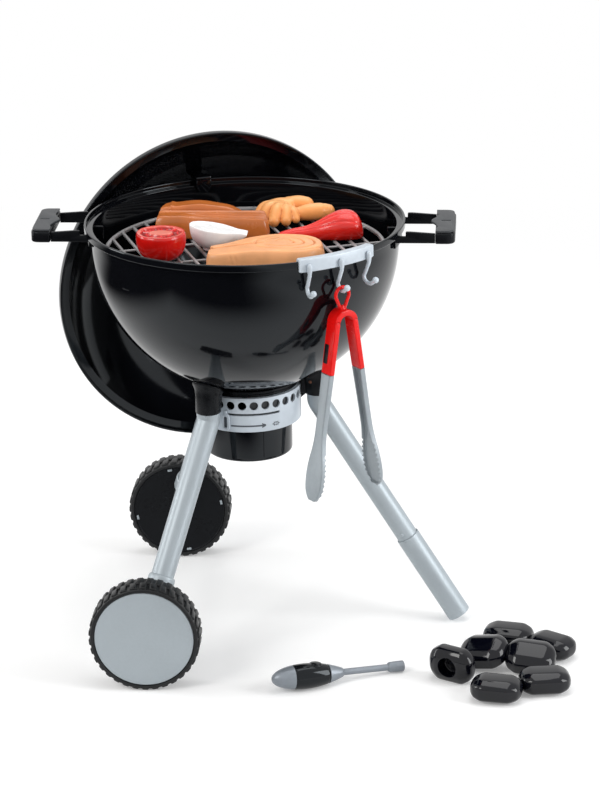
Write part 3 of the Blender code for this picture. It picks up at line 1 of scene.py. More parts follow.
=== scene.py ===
# Toy kettle barbecue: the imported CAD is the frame, and finer pieces and finishes go over it.
# Metres, +Z up. Most pieces are made round the bowl's own axis and then moved to it.

import json
import math

import bmesh
import bpy
from mathutils import Matrix, Vector, noise

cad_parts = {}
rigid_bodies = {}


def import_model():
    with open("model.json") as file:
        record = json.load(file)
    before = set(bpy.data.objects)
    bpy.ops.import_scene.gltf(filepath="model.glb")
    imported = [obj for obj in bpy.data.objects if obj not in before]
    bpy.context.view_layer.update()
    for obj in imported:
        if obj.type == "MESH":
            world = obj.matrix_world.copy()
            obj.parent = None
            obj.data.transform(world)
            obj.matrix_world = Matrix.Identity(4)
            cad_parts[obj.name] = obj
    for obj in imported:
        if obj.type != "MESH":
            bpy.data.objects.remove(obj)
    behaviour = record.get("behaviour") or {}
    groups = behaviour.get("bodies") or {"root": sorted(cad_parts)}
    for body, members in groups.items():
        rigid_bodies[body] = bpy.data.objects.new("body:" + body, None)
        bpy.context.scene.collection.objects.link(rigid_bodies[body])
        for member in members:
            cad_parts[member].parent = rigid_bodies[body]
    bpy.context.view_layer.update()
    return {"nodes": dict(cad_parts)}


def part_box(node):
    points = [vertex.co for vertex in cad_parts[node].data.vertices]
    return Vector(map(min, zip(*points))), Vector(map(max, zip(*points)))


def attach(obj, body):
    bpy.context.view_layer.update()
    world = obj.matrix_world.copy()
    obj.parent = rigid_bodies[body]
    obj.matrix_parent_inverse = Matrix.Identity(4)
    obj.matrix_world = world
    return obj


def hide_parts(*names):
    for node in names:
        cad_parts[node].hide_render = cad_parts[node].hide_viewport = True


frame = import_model()
nodes = frame["nodes"]


# Placing

def at(*spot):
    return Matrix.Translation(spot)


def turnZ(degrees):
    return Matrix.Rotation(math.radians(degrees), 4, 'Z')


def zAlong(way):
    # Lays local Z along a direction.
    return way.to_track_quat('Z', 'Y').to_matrix().to_4x4()


bowlLow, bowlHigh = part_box("bowl")
axis = (bowlLow + bowlHigh) / 2
site = at(axis.x, axis.y, 0)  # bowl's axis to the row's own place
upright = Matrix.Rotation(math.pi / 2, 4, 'X')  # a flat outline stands up
alongX = Matrix.Rotation(math.pi / 2, 4, 'Y')  # a turned body lies down
flipZ = Matrix.Scale(-1, 4, (0, 0, 1))
clearance = 0.0003  # room between pieces that move or part
print("stage: frame loaded, bowl axis at", round(axis.x, 4), round(axis.y, 4))


# Shader sums

class Wire:
    # One socket of a shader tree. Arithmetic on it adds Math nodes, for values only.
    def __init__(self, tree, socket=None):
        self.tree = tree
        self.socket = socket

    def feed(self, target, value):
        if isinstance(value, Wire):
            self.tree.links.new(value.socket, target)
        else:
            target.default_value = value

    def node(self, kind, settings=None, values=None, out=0):
        made = self.tree.nodes.new(kind)
        for name, value in (settings or {}).items():
            if name == "stops":
                ramp = made.color_ramp.elements
                ramp[0].position, ramp[0].color = value[0]
                ramp[1].position, ramp[1].color = value[-1]
                for place, colour in value[1:-1]:
                    ramp.new(place).color = colour
            else:
                setattr(made, name, value)
        for name, value in (values or {}).items():
            self.feed(made.inputs[name], value)
        return Wire(self.tree, made.outputs[out])

    def sum(self, operation, first, second):
        return self.node("ShaderNodeMath", {"operation": operation}, {0: first, 1: second})

    def __add__(self, other):
        return self.sum("ADD", self, other)

    __radd__ = __add__

    def __mul__(self, other):
        return self.sum("MULTIPLY", self, other)

    __rmul__ = __mul__

    def __sub__(self, other):
        return self.sum("SUBTRACT", self, other)

    def __rsub__(self, other):
        return self.sum("SUBTRACT", other, self)

    def noise(self, scale, detail):
        return self.node("ShaderNodeTexNoise", None,
                         {"Vector": self, "Scale": scale, "Detail": detail})

    def ramp(self, low, high):
        return self.node("ShaderNodeMapRange", {"interpolation_type": 'SMOOTHSTEP'},
                         {"Value": self, "From Min": low, "From Max": high})

    def mix(self, first, second):
        # Colours run from first to second as this value goes from 0 to 1.
        return self.node("ShaderNodeMix", {"data_type": 'RGBA'},
                         {0: self, 6: first, 7: second}, out=2)


def shade(colour, share):
    return tuple(min(part * share, 1.0) for part in colour) + (1.0,)


# Finishes

finishes = {
    # colour, its spread, roughness, its spread, grain per metre and its height,
    # waves per metre and their height, metal share, IOR, tint of the reflections
    "gloss_black": ((0.0026, 0.0029, 0.0040), 0.25, 0.06, 0.03, 2600, 0.000003, 22, 0.00002,
                    0.0, 1.38, (0.88, 0.95, 1.0)),
    "satin_black": ((0.0042, 0.0045, 0.0056), 0.25, 0.27, 0.08, 1900, 0.000007, 30, 0.00004,
                    0.0, 1.24, (0.90, 0.95, 1.0)),
    "tyre_black": ((0.0075, 0.0082, 0.0092), 0.35, 0.38, 0.14, 1300, 0.00003, 60, 0.00006,
                   0.0, 1.36),
    "silver_grey": ((0.365, 0.410, 0.440), 0.05, 0.40, 0.08, 3200, 0.000012, 30, 0.00004,
                    0.30, 1.45),
    "pale_silver": ((0.50, 0.555, 0.61), 0.07, 0.34, 0.08, 1500, 0.000018, 40, 0.00003, 0.10,
                    1.45),
    "grate_grey": ((0.37, 0.365, 0.37), 0.08, 0.36, 0.10, 2200, 0.00001, 50, 0.00004, 0.05,
                   1.45),
    "inset_grey": ((0.040, 0.043, 0.047), 0.12, 0.42, 0.08, 2400, 0.00002, 40, 0.00002, 0.0,
                   1.36),
    "tong_red": ((0.70, 0.0045, 0.0035), 0.10, 0.20, 0.08, 2200, 0.000008, 45, 0.00005, 0.0,
                 1.35),
    "tong_grey": ((0.29, 0.325, 0.350), 0.07, 0.34, 0.10, 2400, 0.00001, 45, 0.00004, 0.20,
                  1.45),
    "coal_black": ((0.0016, 0.0019, 0.0046), 0.3, 0.05, 0.05, 2000, 0.000005, 35, 0.00010,
                   0.0, 1.42),
    "mushroom_white": ((0.93, 0.93, 0.93), 0.03, 0.24, 0.10, 900, 0.00003, 70, 0.0003, 0.0,
                       1.42),
    "toolGrey": ((0.225, 0.250, 0.280), 0.10, 0.33, 0.10, 2000, 0.000014, 60, 0.00004, 0.35,
                 1.45),
    "printGrey": ((0.075, 0.085, 0.100), 0.15, 0.45, 0.05, 2400, 0.00001, 40, 0.00001, 0.0,
                  1.4),
    "screwBrown": ((0.19, 0.085, 0.05), 0.3, 0.35, 0.10, 4000, 0.00002, 60, 0.00002, 0.6,
                   1.45),
}

foodFinishes = {
    # colour of the skin, painted shade of the creases, colour of the pale places and of the
    # painted light, roughness, grain per metre and its height, streaks per metre along each
    # axis, IOR
    "rib_brown": ((0.50, 0.140, 0.030), (0.215, 0.038, 0.006), (0.70, 0.25, 0.07), 0.20, 420,
                  0.00008, (14, 150, 60), 1.5),
    "chicken_orange": ((0.90, 0.365, 0.108), (0.52, 0.125, 0.020), (0.97, 0.53, 0.24), 0.26,
                       500, 0.00005, (60, 60, 60)),
    "pepper_red": ((0.80, 0.020, 0.014), (0.42, 0.007, 0.005), (0.88, 0.10, 0.07), 0.15, 600,
                   0.00003, (16, 90, 60), 1.5),
    "tomato_red": ((0.72, 0.010, 0.007), (0.30, 0.003, 0.003), (0.86, 0.26, 0.19), 0.12, 700,
                   0.00004, (80, 80, 80), 1.48),
    "fish_peach": ((0.91, 0.425, 0.190), (0.58, 0.17, 0.048), (0.95, 0.58, 0.36), 0.30, 520,
                   0.00005, (22, 80, 60)),
}


def openTree(name):
    look = bpy.data.materials.new(name)
    look.use_nodes = True
    tree = look.node_tree
    shader = tree.nodes["Principled BSDF"]
    wire = Wire(tree)
    where = wire.node("ShaderNodeTexCoord", out=3)
    return look, shader, wire, where


def mouldedPlastic(name, colour, spread, rough, roughSpread, grain, grainHeight, wave,
                   waveHeight, metal, ior, tint=(1.0, 1.0, 1.0)):
    look, shader, wire, where = openTree(name)
    wide = where.noise(wave * 0.6, 3.0)
    fine = where.noise(grain * 0.12, 3.0)
    grains = where.noise(grain, 2.0)
    waves = where.noise(wave, 1.0)
    tone = (wide * 0.7 + fine * 0.3).ramp(0.3, 0.7)
    wire.feed(shader.inputs["Base Color"],
              tone.mix(shade(colour, 1 - spread), shade(colour, 1 + spread)))
    smear = wide.ramp(0.35, 0.75) * roughSpread
    wire.feed(shader.inputs["Roughness"], smear + (fine - 0.5) * roughSpread + rough)
    shader.inputs["Metallic"].default_value = metal
    shader.inputs["IOR"].default_value = ior
    shader.inputs["Specular Tint"].default_value = tint + (1.0,)
    small = wire.node("ShaderNodeBump", None,
                      {"Strength": 1.0, "Distance": grainHeight, "Height": grains})
    broad = wire.node("ShaderNodeBump", None,
                      {"Strength": 1.0, "Distance": waveHeight, "Height": waves,
                       "Normal": small})
    wire.feed(shader.inputs["Normal"], broad)
    return look


def mouldedFood(name, colour, deep, pale, rough, grain, grainHeight, streak, ior=1.38):
    look, shader, wire, where = openTree(name)
    stretched = wire.node("ShaderNodeVectorMath", {"operation": 'MULTIPLY'},
                          {0: where, 1: streak})
    streaks = stretched.noise(1.0, 3.0)
    patches = where.noise(55, 3.0)
    grains = where.noise(grain, 3.0)
    depth = wire.node("ShaderNodeAttribute", {"attribute_name": "crease"}, out=2)
    light = wire.node("ShaderNodeAttribute", {"attribute_name": "pale"}, out=2)
    tone = (streaks * 0.5 + patches * 0.5).ramp(0.36, 0.64)
    skin = tone.mix(shade(colour, 0.90), shade(colour, 1.08))
    # Pale places: the tomato's own paler flesh, and painted light on the chicken's tops and the
    # pepper's upper crests.
    skin = light.ramp(0.0, 1.0).mix(skin, pale + (1.0,))
    # Creases and hollows are darkened towards the crease colour: painted shade.
    wire.feed(shader.inputs["Base Color"],
              depth.ramp(0.03, 0.85).mix(skin, deep + (1.0,)))
    wire.feed(shader.inputs["Roughness"], patches * 0.16 + grains * 0.08 + (rough - 0.08))
    shader.inputs["IOR"].default_value = ior
    wire.feed(shader.inputs["Normal"],
              wire.node("ShaderNodeBump", None, {"Strength": 1.0, "Distance": grainHeight,
                                                 "Height": grains}))
    return look


looks = {name: mouldedPlastic(name, *row) for name, row in finishes.items()}
looks.update({name: mouldedFood(name, *row) for name, row in foodFinishes.items()})
print("stage:", len(looks), "finishes made")


# Mesh helpers: each returns a bmesh, in the place it is given

def softened(points, steps, closed=True):
    # Rounds each corner of a flat outline by the radius that its third number gives.
    out = []
    count = len(points)
    for i, point in enumerate(points):
        here = Vector(point[:2])
        radius = point[2] if len(point) > 2 else 0.0
        if radius <= 0 or (not closed and i in (0, count - 1)):
            out.append((here.x, here.y))
            continue
        back = Vector(points[i - 1][:2]) - here
        ahead = Vector(points[(i + 1) % count][:2]) - here
        reach = min(radius, back.length * 0.49, ahead.length * 0.49)
        back, ahead = back.normalized() * reach, ahead.normalized() * reach
        for k in range(steps + 1):
            t = k / steps
            spot = here + back * (1 - t) ** 2 + ahead * t ** 2
            out.append((spot.x, spot.y))
    return out


def softBox(low, high, radius, steps):
    # A flat outline of four rounded corners.
    return softened([(low[0], low[1], radius), (high[0], low[1], radius),
                     (high[0], high[1], radius), (low[0], high[1], radius)], steps)


def arcPoints(centre, radius, start, end, count):
    return [(centre[0] + radius * math.cos(start + (end - start) * i / count),
             centre[1] + radius * math.sin(start + (end - start) * i / count))
            for i in range(count + 1)]


def smoothPath(points, steps):
    # Catmull-Rom through the points, which may have any number of parts.
    points = [Vector(p) for p in points]
    out = []
    for i in range(len(points) - 1):
        a = points[i - 1] if i else points[0] * 2 - points[1]
        b, c = points[i], points[i + 1]
        d = points[i + 2] if i + 2 < len(points) else c * 2 - b
        for k in range(steps):
            t = k / steps
            out.append(0.5 * (b * 2 + (c - a) * t + (a * 2 - b * 5 + c * 4 - d) * t ** 2
                              + (b * 3 - a - c * 3 + d) * t ** 3))
    return out + [points[-1]]


def spun(profile, steps, closed=False):
    # Turns (radius, height) points round Z. A point on the axis becomes a pole.
    bm = bmesh.new()
    rows = []
    for radius, height in profile:
        if radius < 1e-6:
            rows.append([bm.verts.new((0, 0, height))])
        else:
            rows.append([bm.verts.new((radius * math.cos(2 * math.pi * i / steps),
                                       radius * math.sin(2 * math.pi * i / steps), height))
                         for i in range(steps)])
    pairs = list(zip(rows, rows[1:])) + ([(rows[-1], rows[0])] if closed else [])
    for row, after in pairs:
        for i in range(steps):
            j = (i + 1) % steps
            if len(row) > 1 and len(after) > 1:
                bm.faces.new((row[i], row[j], after[j], after[i]))
            elif len(row) > 1:
                bm.faces.new((row[i], row[j], after[0]))
            elif len(after) > 1:
                bm.faces.new((row[0], after[j], after[i]))
    bmesh.ops.recalc_face_normals(bm, faces=bm.faces)
    return bm


def bridged(bm, rows, capped=True):
    # Faces between rows of vertices, each row a closed ring with as many of them.
    for row, after in zip(rows, rows[1:]):
        for i in range(len(row)):
            j = (i + 1) % len(row)
            bm.faces.new((row[i], row[j], after[j], after[i]))
    if capped:
        bm.faces.new(rows[0][::-1])
        bm.faces.new(rows[-1])


def skinned(rings):
    bm = bmesh.new()
    bridged(bm, [[bm.verts.new(spot) for spot in ring] for ring in rings])
    bmesh.ops.recalc_face_normals(bm, faces=bm.faces)
    return bm


def pipe(path, radius, sides, edge=0.0006, roundEnds=False):
    # A rod along a path; radius is one number or one for each point.
    path = [Vector(p) for p in path]
    radii = list(radius) if isinstance(radius, (list, tuple)) else [radius] * len(path)
    lead = (path[1] - path[0]).normalized()
    tail = (path[-1] - path[-2]).normalized()
    if roundEnds:
        turns = [math.pi / 2 * k / 5 for k in range(6)]
        front = [(path[0] - lead * radii[0] * math.cos(t), max(radii[0] * math.sin(t), 1e-5))
                 for t in turns[:-1]]
        back = [(path[-1] + tail * radii[-1] * math.sin(t), max(radii[-1] * math.cos(t), 1e-5))
                for t in turns[1:]]
    else:
        front = [(path[0], radii[0] - edge)]
        back = [(path[-1], radii[-1] - edge)]
        path[0] = path[0] + lead * edge
        path[-1] = path[-1] - tail * edge
    spots = front + list(zip(path, radii)) + back
    rings = []
    up = lead.orthogonal()
    for i, (spot, size) in enumerate(spots):
        before = spots[max(i - 1, 0)][0]
        after = spots[min(i + 1, len(spots) - 1)][0]
        along = (after - before).normalized()
        up = (up - along * up.dot(along)).normalized()
        side = along.cross(up)
        rings.append([spot + (up * math.cos(2 * math.pi * k / sides)
                              + side * math.sin(2 * math.pi * k / sides)) * size
                      for k in range(sides)])
    return skinned(rings)


def block(low, high, edge, segments=2):
    low, high = Vector(low), Vector(high)
    bm = bmesh.new()
    bmesh.ops.create_cube(bm, size=1.0, matrix=Matrix.Translation((low + high) / 2)
                          @ Matrix.Diagonal((*(high - low), 1.0)))
    if edge > 0:
        bmesh.ops.bevel(bm, geom=bm.edges, offset=edge, segments=segments, profile=0.5,
                        affect='EDGES', clamp_overlap=True)
    return bm


def orb(centre, radii, across):
    bm = bmesh.new()
    bmesh.ops.create_uvsphere(bm, u_segments=across, v_segments=across // 2, radius=1.0,
                              matrix=Matrix.Translation(centre)
                              @ Matrix.Diagonal((*radii, 1.0)))
    return bm


def toMesh(bm, name="made"):
    mesh = bpy.data.meshes.new(name)
    bm.to_mesh(mesh)
    bm.free()
    return mesh


def fromObject(obj):
    # The mesh of an object with its modifiers, as a bmesh; the object goes.
    bpy.context.view_layer.update()
    seen = obj.evaluated_get(bpy.context.evaluated_depsgraph_get())
    mesh = bpy.data.meshes.new_from_object(seen)
    bpy.data.objects.remove(obj, do_unlink=True)
    bm = bmesh.new()
    bm.from_mesh(mesh)
    bpy.data.meshes.remove(mesh)
    return bm


def tempObject(data):
    obj = bpy.data.objects.new("temp", data)
    bpy.context.scene.collection.objects.link(obj)
    return obj


def slab(outline, low, high, edge=0.0005, holes=(), steps=2):
    # An outline in the XY plane, raised from low to high, with rounded edges.
    curve = bpy.data.curves.new("slab", 'CURVE')
    curve.dimensions = '2D'
    curve.fill_mode = 'BOTH'
    curve.extrude = (high - low) / 2 - edge
    curve.bevel_depth = edge
    curve.bevel_resolution = steps
    curve.offset = -edge
    for points in (outline, *holes):
        spline = curve.splines.new('POLY')
        spline.points.add(len(points) - 1)
        for point, (x, y) in zip(spline.points, points):
            point.co = (x, y, 0.0, 1.0)
        spline.use_cyclic_u = True
    bm = fromObject(tempObject(curve))
    bmesh.ops.remove_doubles(bm, verts=bm.verts, dist=1e-6)
    bmesh.ops.recalc_face_normals(bm, faces=bm.faces)
    bm.transform(at(0, 0, (low + high) / 2))
    return bm


def moved(bm, place):
    bm.transform(place)
    return bm


def joined(*bodies):
    whole = bmesh.new()
    for body in bodies:
        mesh = toMesh(body)
        whole.from_mesh(mesh)
        bpy.data.meshes.remove(mesh)
    return whole


def carved(body, cutter, operation='DIFFERENCE'):
    one, two = tempObject(toMesh(body)), tempObject(toMesh(cutter))
    step = one.modifiers.new("carve", 'BOOLEAN')
    step.operation, step.solver, step.object = operation, 'EXACT', two
    step.use_self = True
    bm = fromObject(one)
    bpy.data.objects.remove(two, do_unlink=True)
    bmesh.ops.remove_doubles(bm, verts=bm.verts, dist=2e-6)
    return bm


def melted(body, voxel, rounds):
    # One skin over overlapping bodies, with small smooth creases where they meet.
    obj = tempObject(toMesh(body))
    skin = obj.modifiers.new("skin", 'REMESH')
    skin.mode, skin.voxel_size, skin.adaptivity = 'VOXEL', voxel, 0.0
    soft = obj.modifiers.new("soft", 'SMOOTH')
    soft.factor, soft.iterations = 0.5, rounds
    return fromObject(obj)


def addPiece(name, bm, look, body, replaced=(), place=site, sharp=40):
    bm.transform(place)
    bmesh.ops.recalc_face_normals(bm, faces=bm.faces)
    mesh = toMesh(bm, name)
    mesh.materials.clear()
    mesh.materials.append(looks[look])
    for face in mesh.polygons:
        face.material_index = 0
    mesh.shade_smooth()
    mesh.set_sharp_from_angle(angle=math.radians(sharp))
    piece = bpy.data.objects.new(name, mesh)
    bpy.context.scene.collection.objects.link(piece)
    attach(piece, body)
    if replaced:
        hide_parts(*replaced)
    return piece


# Bowl

bowl = {
    "rim": 0.150, "top": 0.4045, "bandHeight": 0.0068, "step": 0.0059, "wall": 0.0024,
    "centre": 0.3864, "floorRadius": 0.044, "edge": 0.0011,
    # distance from the axis, length and width of the three air slots
    "slots": (0.025, 0.030, 0.007),
    "lugs": (45, 135, 225, 315), "lugReach": 0.127, "lugHalf": 0.005,
    "lugHeights": (0.3657, 0.3747), "fins": (0, 180), "finTop": 0.3968, "finReach": 0.0085,
    "finHalf": 0.0008, "finHeight": 0.012, "sink": 0.0012,
}
bowlRadius = bowl["rim"] - bowl["step"]
bowlInner = bowlRadius - bowl["wall"]


def makeBowl():
    b = bowl
    rim, wall, edge = b["rim"], b["wall"], b["edge"]
    low = b["top"] - b["bandHeight"]
    floor = b["centre"] - math.sqrt(bowlRadius ** 2 - b["floorRadius"] ** 2)
    innerLow = math.acos((b["centre"] - floor - wall) / bowlInner)
    outerLow = math.asin(b["floorRadius"] / bowlRadius)
    inside = [(bowlInner * math.sin(a), b["centre"] - bowlInner * math.cos(a))
              for a in [innerLow + (math.pi / 2 - innerLow) * i / 48 for i in range(49)]]
    outside = [(bowlRadius * math.sin(a), b["centre"] - bowlRadius * math.cos(a))
               for a in [math.pi / 2 - (math.pi / 2 - outerLow) * i / 56 for i in range(57)]]
    band = softened([(bowlInner, b["centre"]), (bowlInner, low + wall, 0.0008),
                     (rim - wall, low + wall, 0.0006), (rim - wall, b["top"], edge),
                     (rim, b["top"], edge), (rim, low, 0.0010), (bowlRadius, low, 0.0022),
                     (bowlRadius, b["centre"])], 5, closed=False)
    profile = [(0, floor + wall)] + inside + band[1:-1] + outside + [(0, floor)]
    shell = spun(profile, 160)
    away, length, width = b["slots"]
    cutters = []
    half = width / 2
    for i in range(3):
        outline = (arcPoints((0, length / 2 - half), half, 0, math.pi, 10)
                   + arcPoints((0, half - length / 2), half, math.pi, 2 * math.pi, 10))
        cutter = slab(outline, floor - 0.004, floor + 0.006, 0.0)
        cutters.append(moved(cutter, turnZ(120 * i) @ at(away, 0, 0)))
    shell = carved(shell, joined(*cutters))
    root = bowlInner + b["sink"]
    lugLow, lugTop = b["lugHeights"]
    lugs = [moved(block((b["lugReach"], -b["lugHalf"], lugLow), (root, b["lugHalf"], lugTop),
                        0.0010), turnZ(azimuth)) for azimuth in b["lugs"]]
    finIn, finLow = bowlInner - b["finReach"], b["finTop"] - b["finHeight"]
    lugs += [moved(block((finIn, -b["finHalf"], finLow), (root, b["finHalf"], b["finTop"]),
                         0.0004), turnZ(azimuth)) for azimuth in b["fins"]]
    addPiece("bowlShell", shell, "gloss_black", "grill", ["bowl"])
    addPiece("bowlLugs", joined(*lugs), "gloss_black", "grill")


makeBowl()


# Cooking grate

grate = {"radius": 0.132, "top": 0.3786, "ringWidth": 0.0034, "ringHeight": 0.0036,
         "bar": 0.0026, "pitch": 0.0140, "cross": 0.026, "turn": 20.3}


def makeGrate():
    g = grate
    low = g["top"] - g["ringHeight"]
    ring = spun(softened([(g["radius"], g["top"], 0.0016), (g["radius"], low, 0.0008),
                          (g["radius"] - g["ringWidth"], low, 0.0008),
                          (g["radius"] - g["ringWidth"], g["top"], 0.0016)], 4), 144,
                closed=True)
    middle = g["radius"] - g["ringWidth"] / 2
    count = int(middle / g["pitch"] - 0.5)
    bars = []
    for i in range(-count, count + 1):
        reach = math.sqrt(middle ** 2 - (i * g["pitch"]) ** 2)
        x = i * g["pitch"]
        bars.append(block((x - g["bar"] / 2, -reach, low + 0.0006),
                          (x + g["bar"] / 2, reach, g["top"] - 0.0003), 0.0008, 3))
    for side in (-1, 1):
        reach = math.sqrt(middle ** 2 - g["cross"] ** 2)
        y = side * g["cross"]
        bars.append(block((-reach, y - g["bar"] / 2, low + 0.0003),
                          (reach, y + g["bar"] / 2, g["top"] - 0.0012), 0.0008, 3))
    whole = joined(ring, *[moved(bar, turnZ(g["turn"])) for bar in bars])
    addPiece("grateBars", whole, "grate_grey", "grate", ["cooking_grate"])


makeGrate()
print("stage: bowl and grate made")


# Side handles, built at +X

sideHandle = {
    "spread": 0.0332, "arm": 0.0030, "armLow": 0.3909, "armTop": 0.4017, "seat": 0.1444,
    "saddle": (0.3867, 0.3974), "saddleThick": 0.0024, "saddleHalf": 0.0362,
    "gripIn": 0.1785, "gripOut": 0.1968, "gripHalf": 0.0368, "gripLow": 0.3911,
    "gripTop": 0.4013, "corner": 0.012, "insetTop": 0.4036, "border": 0.0012,
    "bulge": 0.0046, "bulgeHalf": 0.014, "slot": (0.0090, 0.0022),
    # radii where the arm's top has come up, and height of the part under the rim band
    "armStep": 0.1512, "armSlope": 0.1560, "armShelf": 0.3972,
    # place across, width and depth of the two notches beside the bulge
    "notch": (0.0195, 0.0042, 0.0016),
}


def makeSideHandle(side, degrees):
    h = sideHandle
    reach = math.asin(h["saddleHalf"] / h["seat"])
    rings = []
    section = softened([(h["seat"] + h["saddleThick"], h["saddle"][1], 0.0006),
                        (h["seat"] + h["saddleThick"], h["saddle"][0], 0.0006),
                        (h["seat"], h["saddle"][0], 0.0003),
                        (h["seat"], h["saddle"][1], 0.0003)], 2)
    for i in range(25):
        a = -reach + 2 * reach * i / 24
        rings.append([(r * math.cos(a), r * math.sin(a), z) for r, z in section])
    bodies = [skinned(rings)]
    start = math.sqrt(h["seat"] ** 2 - (h["spread"] - h["arm"]) ** 2) + h["saddleThick"] / 2
    for way in (-1, 1):
        edge = sorted((way * h["spread"], way * (h["spread"] - h["arm"])))
        # The arm passes under the rim band, then stands up to its full height.
        stop = h["gripIn"] - 0.0002
        outline = softened([(start, h["armLow"], 0.0004), (stop, h["armLow"]),
                            (stop, h["armTop"] - 0.0016), (h["armSlope"], h["armTop"], 0.0010),
                            (h["armStep"], h["armTop"], 0.0012),
                            (h["armStep"], h["armShelf"], 0.0005),
                            (start, h["armShelf"], 0.0004)], 3)
        bodies.append(moved(slab(outline, *edge, 0.0005), upright @ flipZ))
    addPiece(side + "HandleFrame", joined(*bodies), "satin_black", "grill",
             [side + "_handle_frame"], site @ turnZ(degrees))

    inner, outer, half = h["gripIn"], h["gripOut"], h["gripHalf"]
    outline = softened([(inner, -half, 0.0016), (outer, -half, h["corner"] * 0.72),
                        (outer, half, h["corner"] * 0.72), (inner, half, 0.0016)], 10)
    grip = slab(outline, h["gripLow"], h["gripTop"], 0.0014, steps=3)
    addPiece(side + "HandleGrip", grip, "satin_black", "grill", [side + "_handle_grip"],
             site @ turnZ(degrees))

    outer -= h["border"]
    half -= h["border"]
    wave = []
    notchAt, notchWide, notchDeep = h["notch"]
    for i in range(33):
        y = half - 2 * half * i / 32
        share = abs(y) / h["bulgeHalf"]
        bump = 0.5 + 0.5 * math.cos(math.pi * min(share, 1.0))
        notch = math.exp(-((abs(y) - notchAt) / notchWide) ** 2)
        wave.append((inner + 0.0002 - h["bulge"] * bump + notchDeep * notch, y))
    outline = (softened([(inner, -half), (outer, -half, h["corner"] * 0.70),
                         (outer, half, h["corner"] * 0.70), (inner, half)], 10,
                        closed=False)[1:-1] + wave)
    length, width = h["slot"]
    middle = (inner + outer) / 2 + 0.001
    hole = softBox((middle - length / 2, -width / 2), (middle + length / 2, width / 2),
                   0.001, 4)
    inset = slab(outline, h["gripTop"] + 0.0002, h["insetTop"], 0.0006, holes=[hole])
    addPiece(side + "HandleInset", inset, "inset_grey", "grill", [side + "_handle_inset"],
             site @ turnZ(degrees))


makeSideHandle("right", 0)
makeSideHandle("left", 180)


# Legs, sockets, sleeve and brackets, built at +X

leg = {
    "offset": 0.066, "splay": math.radians(31.65), "bend": 0.0125, "socketLow": 0.22848,
    "bore": 0.0147, "wheelLeg": 0.0108, "plainLeg": 0.0102, "sleeve": 0.01145,
    "sleeveLength": 0.095, "socketWall": 0.00125, "collarLift": 0.0045,
    "web": 0.009, "bracketTop": 0.0955, "bracketLow": 0.0830, "bracketWall": 0.0020,
    "strut": 0.0082, "boss": 0.0085, "bossLength": 0.0175, "screw": (0.2470, -122),
    "plug": 0.009, "snap": (0.0019, 0.0019, 0.0011), "snapRise": 0.006,
    "webPlace": (0.0503, 0.0553),
    # how far the shoulder stands out from the collar, and how far below the bowl
    "shoulder": ((0, 0.0130), (0.0001, 0.0100), (0.0004, 0.0074), (0.0010, 0.0054),
                 (0.0017, 0.0040), (0.0023, 0.0027), (0.0026, 0.0014), (0.0024, 0.0006),
                 (0.0018, 0.0)),
}
legCorner = leg["socketLow"] - leg["bend"] * math.tan(leg["splay"] / 2)


def legRadiusAt(height):
    return leg["offset"] + (legCorner - height) * math.tan(leg["splay"])


def legPath(end):
    bend = [(leg["offset"] + leg["bend"] * (1 - math.cos(leg["splay"] * i / 8)), 0,
             leg["socketLow"] - leg["bend"] * math.sin(leg["splay"] * i / 8)) for i in range(9)]
    return ([(leg["offset"], 0, leg["socketLow"] + leg["bore"])] + bend
            + [(legRadiusAt(end), 0, end)])


def underBowl(x, y, drop=0.0):
    return bowl["centre"] - math.sqrt((bowlRadius + clearance) ** 2 - x * x - y * y) - drop


def makeSocket(name, degrees, legRadius):
    # A bored column with a soft shoulder. Its top and that of its web follow the bowl.
    column = leg["socketWall"] + leg["wheelLeg"]
    low = leg["socketLow"] + leg["collarLift"]
    ceiling = leg["socketLow"] + leg["bore"] + clearance
    bore = legRadius + clearance
    rows = [(0.0002, ceiling, None), (bore, ceiling, None), (bore, low + 0.0004, None),
            (bore + 0.0003, low, None), (column - 0.0009, low, None),
            (column - 0.0003, low + 0.0003, None), (column, low + 0.0010, None)]
    rows += [(column + out, None, drop) for out, drop in leg["shoulder"]]
    rows += [(column * 0.6, None, 0.0), (0.0002, None, 0.0)]
    rings = []
    for radius, height, drop in rows:
        ring = []
        for k in range(64):
            x = leg["offset"] + radius * math.cos(2 * math.pi * k / 64)
            y = radius * math.sin(2 * math.pi * k / 64)
            ring.append((x, y, underBowl(x, y, drop) if height is None else height))
        rings.append(ring)
    half = leg["web"] / 2
    web = []
    start, stop = leg["webPlace"]
    for k in range(7):
        x = start + (stop - start) * k / 6
        web.append([(x, y, z) for y, z in softened(
            [(-half, low + 0.0006, 0.0006), (half, low + 0.0006, 0.0006),
             (half, underBowl(x, half)), (-half, underBowl(x, half))], 3)])
    addPiece(name + "Body", joined(skinned(rings), skinned(web)), "satin_black", "grill",
             [snake(name)], site @ turnZ(degrees), 35)
    if legRadius == leg["plainLeg"]:
        # A small brown screw head on the side of the plain leg's socket.
        screw = spun(softened([(0, 0.0009), (0.0015, 0.0008, 0.0004), (0.0018, -0.0002)], 3,
                              closed=False), 24)
        height, azimuth = leg["screw"]
        screw.transform(at(leg["offset"], 0, height) @ turnZ(azimuth) @ at(column, 0, 0)
                        @ alongX)
        addPiece(name + "Screw", screw, "screwBrown", "grill", (), site @ turnZ(degrees))


def snake(name):
    return "".join("_" + letter.lower() if letter.isupper() else letter for letter in name)


